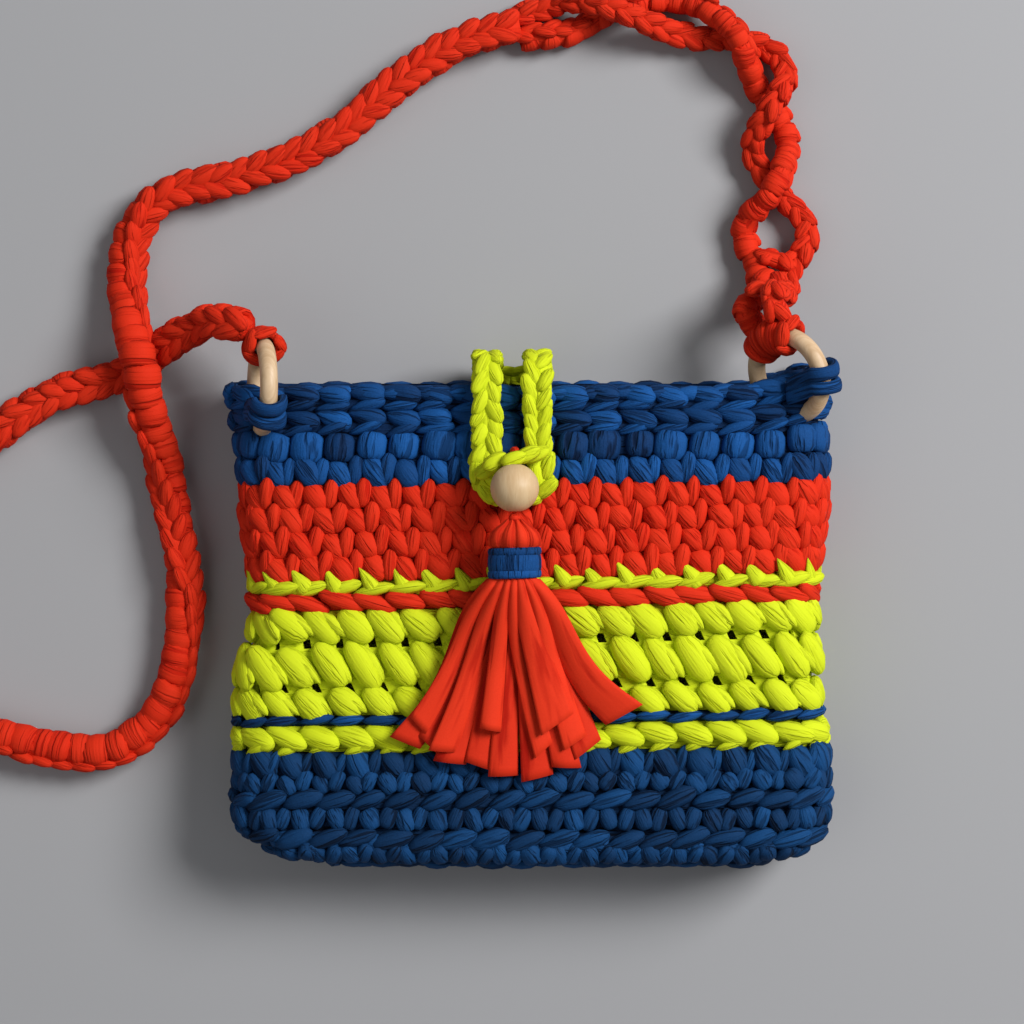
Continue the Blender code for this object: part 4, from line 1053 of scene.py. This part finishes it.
pivot = Vector((-0.0054, 0.045792, 0.065175))
knot_radius = 0.0028
cord_radius = 0.0020
cord_foot_y = 0.0733
cord_foot_z = front_surface(bead_at.x, cord_foot_y) - settling + gap
cord_points = [(bead_at.x, cord_foot_y, cord_foot_z), (bead_at.x, 0.0737, bead_at.z - 0.0100),
               (bead_at.x, 0.0717, bead_at.z - 0.0022),
               (bead_at.x, bead_y + 0.0095, bead_at.z), tuple(bead_at),
               (bead_at.x, pivot.y + knot_radius + gap, bead_at.z)]
cord_stations = smooth_route(cord_points, 28)
across = Vector((1.0, 0.0, 0.0))
run = []
for k, point in enumerate(cord_stations):
    up = heading(cord_stations, k).cross(across)
    run.append([Vector(point) + (across * math.cos(turn) + up * math.sin(turn)) * cord_radius
                * (0.93 + 0.07 * math.cos(3 * turn + 0.7 * k)) for turn in around(12)])
bead_cord = loft("bead_cord_yarn", [run], red_jersey, run_length=0.006)
dress(bead_cord, "root", "bead_cord")

# How much each turn of the knot is tilted, and its size.
knot_turns = ((0.0, 0.94), (1.0, 0.90), (2.1, 0.92))
runs = []
for tilt, size in knot_turns:
    normal = Vector((math.sin(tilt) * 0.8, math.cos(tilt), 0.6 * math.sin(2 * tilt))).normalized()
    first = normal.orthogonal().normalized()
    second = normal.cross(first)
    run = []
    reach, half = 0.36 * knot_radius * size, 0.62 * knot_radius * size
    for away in oval(Vector(), first, second, 20):
        run.append(oval(pivot + away * reach, away * half, normal * half, 10))
    runs.append(run)
knot = loft("tassel_knot", runs, red_jersey, closed=True, run_length=0.005)
dress(knot, "tassel_link_body", "tassel_link")

# Tassel. Fifteen strips of red jersey are folded over the knot, bound into a neck and cut; their
# edges roll a little, and they overlap and end unevenly. Navy yarn is wound three times round.
# Its darker second colour is painted shade in the creases, as for the yarns.
red_strip = jersey("red_strip", (0.735, 0.038, 0.010), (0.330, 0.005, 0.0015), 0.20, 0.0003, 1.4)
head_top = pivot.y - knot_radius - gap
head_height = 0.0092
wrap_height = 0.0120
wrap_z = 0.0610
neck_half_width = 0.0083
neck_half_depth = 0.0074
neck_y = head_top - head_height - wrap_height
neck_strip_width = 0.0046
skirt_length = 0.0850
strip_thickness = 0.0024
hem_thickness = 0.0012
fold_thickness = 0.0036
lower_top = 0.0016
hem_z = front_surface(bead_at.x, neck_y - skirt_length) + 0.0010 + strip_thickness + gap
# The head's and neck's outline: shares of the head's height, the middle's place over the floor
# and half the width and depth there.
bundles = ((-0.30, pivot.z, 0.0034, 0.0012), (-0.12, pivot.z, 0.0052, 0.0027),
           (0.08, pivot.z - 0.0004, 0.0078, 0.0056), (0.30, pivot.z - 0.0012, 0.0100, 0.0080),
           (0.60, pivot.z - 0.0024, 0.0110, 0.0090), (0.88, pivot.z - 0.0034, 0.0107, 0.0088),
           (1.0, wrap_z + 0.0008, neck_half_width, neck_half_depth),
           (1.65, wrap_z + 0.0004, neck_half_width, neck_half_depth),
           (2.304, wrap_z, neck_half_width, neck_half_depth))
neck_share = 0.95
bundle_edge = 0.95
strip_columns = [column / 10 for column in range(11)]
skirt_steps = 22
curl_start = 0.85
curl_gain = 44


def bulge_of(half_depth, u):
    """Height of a bundle of strips over its middle, at a share of its half width."""
    return half_depth * math.sqrt(1.0 - (bundle_edge * u) ** 2)


def strip_rings(low, high, layer, lean, length, width, arch, roll, lift, cut, curl):
    """One strip: its cell in the head and neck, then a thin arched ribbon to its cut end."""
    rings = []
    proud = round((low + 1.0) / (high - low)) % 2 == 0
    for share, z, half_width, half_depth in bundles:
        in_head = share < neck_share
        wider = 0.50 if proud and in_head else 0.0
        outer, inner = [], []
        for t in strip_columns:
            u = low - wider * (high - low) + (high - low) * (1 + 2 * wider) * t
            u = min(max(u, -1.0), 1.0)
            swell = (0.0021 if proud else 0.0008) * math.sin(math.pi * t) ** 0.7 - 0.0012
            raised = bulge_of(half_depth, u) + (swell if in_head else 0.0)
            x, y = bead_at.x + u * half_width, head_top - head_height * share
            outer.append(Vector((x, y, z + layer * raised)))
            inner.append(Vector((x, y, z + layer * gap / 2)))
        rings.append(outer + inner[::-1])
    middle = (low + high) / 2
    neck_top = bulge_of(neck_half_depth, middle) if layer > 0 else lower_top
    x, y = bead_at.x + middle * neck_half_width, neck_y
    for share in ((step + 1) / skirt_steps for step in range(skirt_steps)):
        angle = math.radians(between(list(zip((0.0, 0.40, 1.0), lean)), share))
        x += math.sin(angle) * length / skirt_steps
        y -= math.cos(angle) * length / skirt_steps
        settled = ease(length * share / (skirt_length * 0.50))
        level = wrap_z + (hem_z - lower_top - wrap_z) * settled
        top = neck_top * (1 - settled) + lift * settled
        wide = neck_strip_width + (width - neck_strip_width) * share ** 0.85
        hump = between(((0.0, 0.0036), (0.4, 0.0018), (1.0, arch)), share)
        hump += curl * max(share - curl_start, 0.0) ** 2 * curl_gain
        thick = hem_thickness + fold_thickness * (1 - min(3.5 * share, 1.0))
        outer, inner = [], []
        for t in strip_columns:
            side = t - 0.5
            tail = cut * side * share ** 3
            rolled = hump * (0.5 - abs(2 * side) ** 2.2) + roll * side * settled
            spot = Vector((x + math.cos(angle) * side * wide + math.sin(angle) * tail,
                           y + math.sin(angle) * side * wide - math.cos(angle) * tail,
                           level + top + rolled))
            outer.append(spot)
            inner.append(spot - Vector((0.0, 0.0, thick)))
        rings.append(outer + inner[::-1])
    return rings


# The strips' lean at the neck, further down and at the end in degrees, then in mm their length,
# width, arch, roll, lift, slant of the cut and rise of its middle; the eight below come first.
below = ((-46, -16, -40, 80, 13.0, 0.8, -2.0, 1.0, -4, 0.5),
         (-36, -14, -31, 77, 12.0, 0.9, -2.2, 0.9, 3, 0.8),
         (-24, -13, -20, 81, 13.5, 1.0, -1.8, 1.2, -3, 1.6),
         (-13, -9, -10, 80, 12.0, 0.8, -1.6, 0.8, 2, 0.6),
         (-6, -4, -3, 83, 12.5, 0.9, -1.8, 1.1, -1, 1.2),
         (4, 4, 5, 84, 13.5, 0.9, -1.6, 0.7, -2, 0.8),
         (16, 10, 12, 81, 12.0, 0.8, -1.8, 1.1, 3, 1.6),
         (34, 11, 20, 76, 13.0, 0.9, -2.0, 0.8, -4, 0.5))
above = ((-44, -19, -33, 71, 11.0, 0.8, -2.6, 2.6, 3, 0.4),
         (-28, -15, -22, 77, 11.0, 0.9, -2.8, 3.6, -3, 0.4),
         (-15, -5, -6, 64, 9.0, 1.4, -1.8, 5.2, 1, 0.8),
         (-6, 12, 16, 73, 10.5, 0.8, -2.6, 2.6, -5, 0.3),
         (6, 16, 16, 63, 15.5, 0.7, -2.0, 5.6, -5, 0.2),
         (24, 14, 17, 72, 11.0, 0.9, -2.6, 3.2, -3, 0.5),
         (40, 22, 50, 70, 16.5, 1.0, 3.4, 4.2, 6, 0.2))
strips = [(-1.0 + k / 4, -0.75 + k / 4, -1, look) for k, look in enumerate(below)]
strips += [((2 * k - 7) / 7.6, (2 * k - 5) / 7.6, 1, look) for k, look in enumerate(above)]
for number, (low, high, layer, look) in enumerate(strips, 1):
    rings = strip_rings(low, high, layer, look[:3], *[value * mm for value in look[3:]])
    # The strips below get low shade values and come out darker: painted shade under the strips
    # above; the step by number varies them.
    shade_level = (0.10 if layer < 0 else 0.76) + 0.09 * (number % 3)
    strip = loft("tassel_strip_%02d" % number, [rings], red_strip, run_length=0.030, across=0.30,
                 shade_level=shade_level)
    dress(strip, "tassel", "tassel_strand_%02d" % number)

# How far each turn of the wrap is shifted down the neck, its width and how much it slants.
wrap_turns = ((-0.0046, 0.0034, 0.0003), (0.0001, 0.0084, -0.0002), (0.0046, 0.0036, 0.0003))
wrap_middle = head_top - head_height - wrap_height / 2
yarn_half = 0.00105
runs = []
for shift, width, tilt in wrap_turns:
    run = []
    for spin in around(36):
        loop = []
        for angle in around(10):
            grow = gap + yarn_half * (1 + blunt(angle, 0.7))
            y = wrap_middle - shift + tilt * math.cos(spin) + width / 2 * math.cos(angle)
            slope = wrap_z + 0.0008 * (y - neck_y) / wrap_height
            wide, deep = neck_half_width / bundle_edge + grow, neck_half_depth + grow
            loop.append(Vector((bead_at.x + wide * math.cos(spin), y,
                                slope + deep * math.sin(spin))))
        run.append(loop)
    runs.append(run)
wrap = loft("tassel_wrap_turns", runs, navy_jersey, closed=True, run_length=0.0007, across=0.12)
dress(wrap, "tassel", "tassel_wrap")
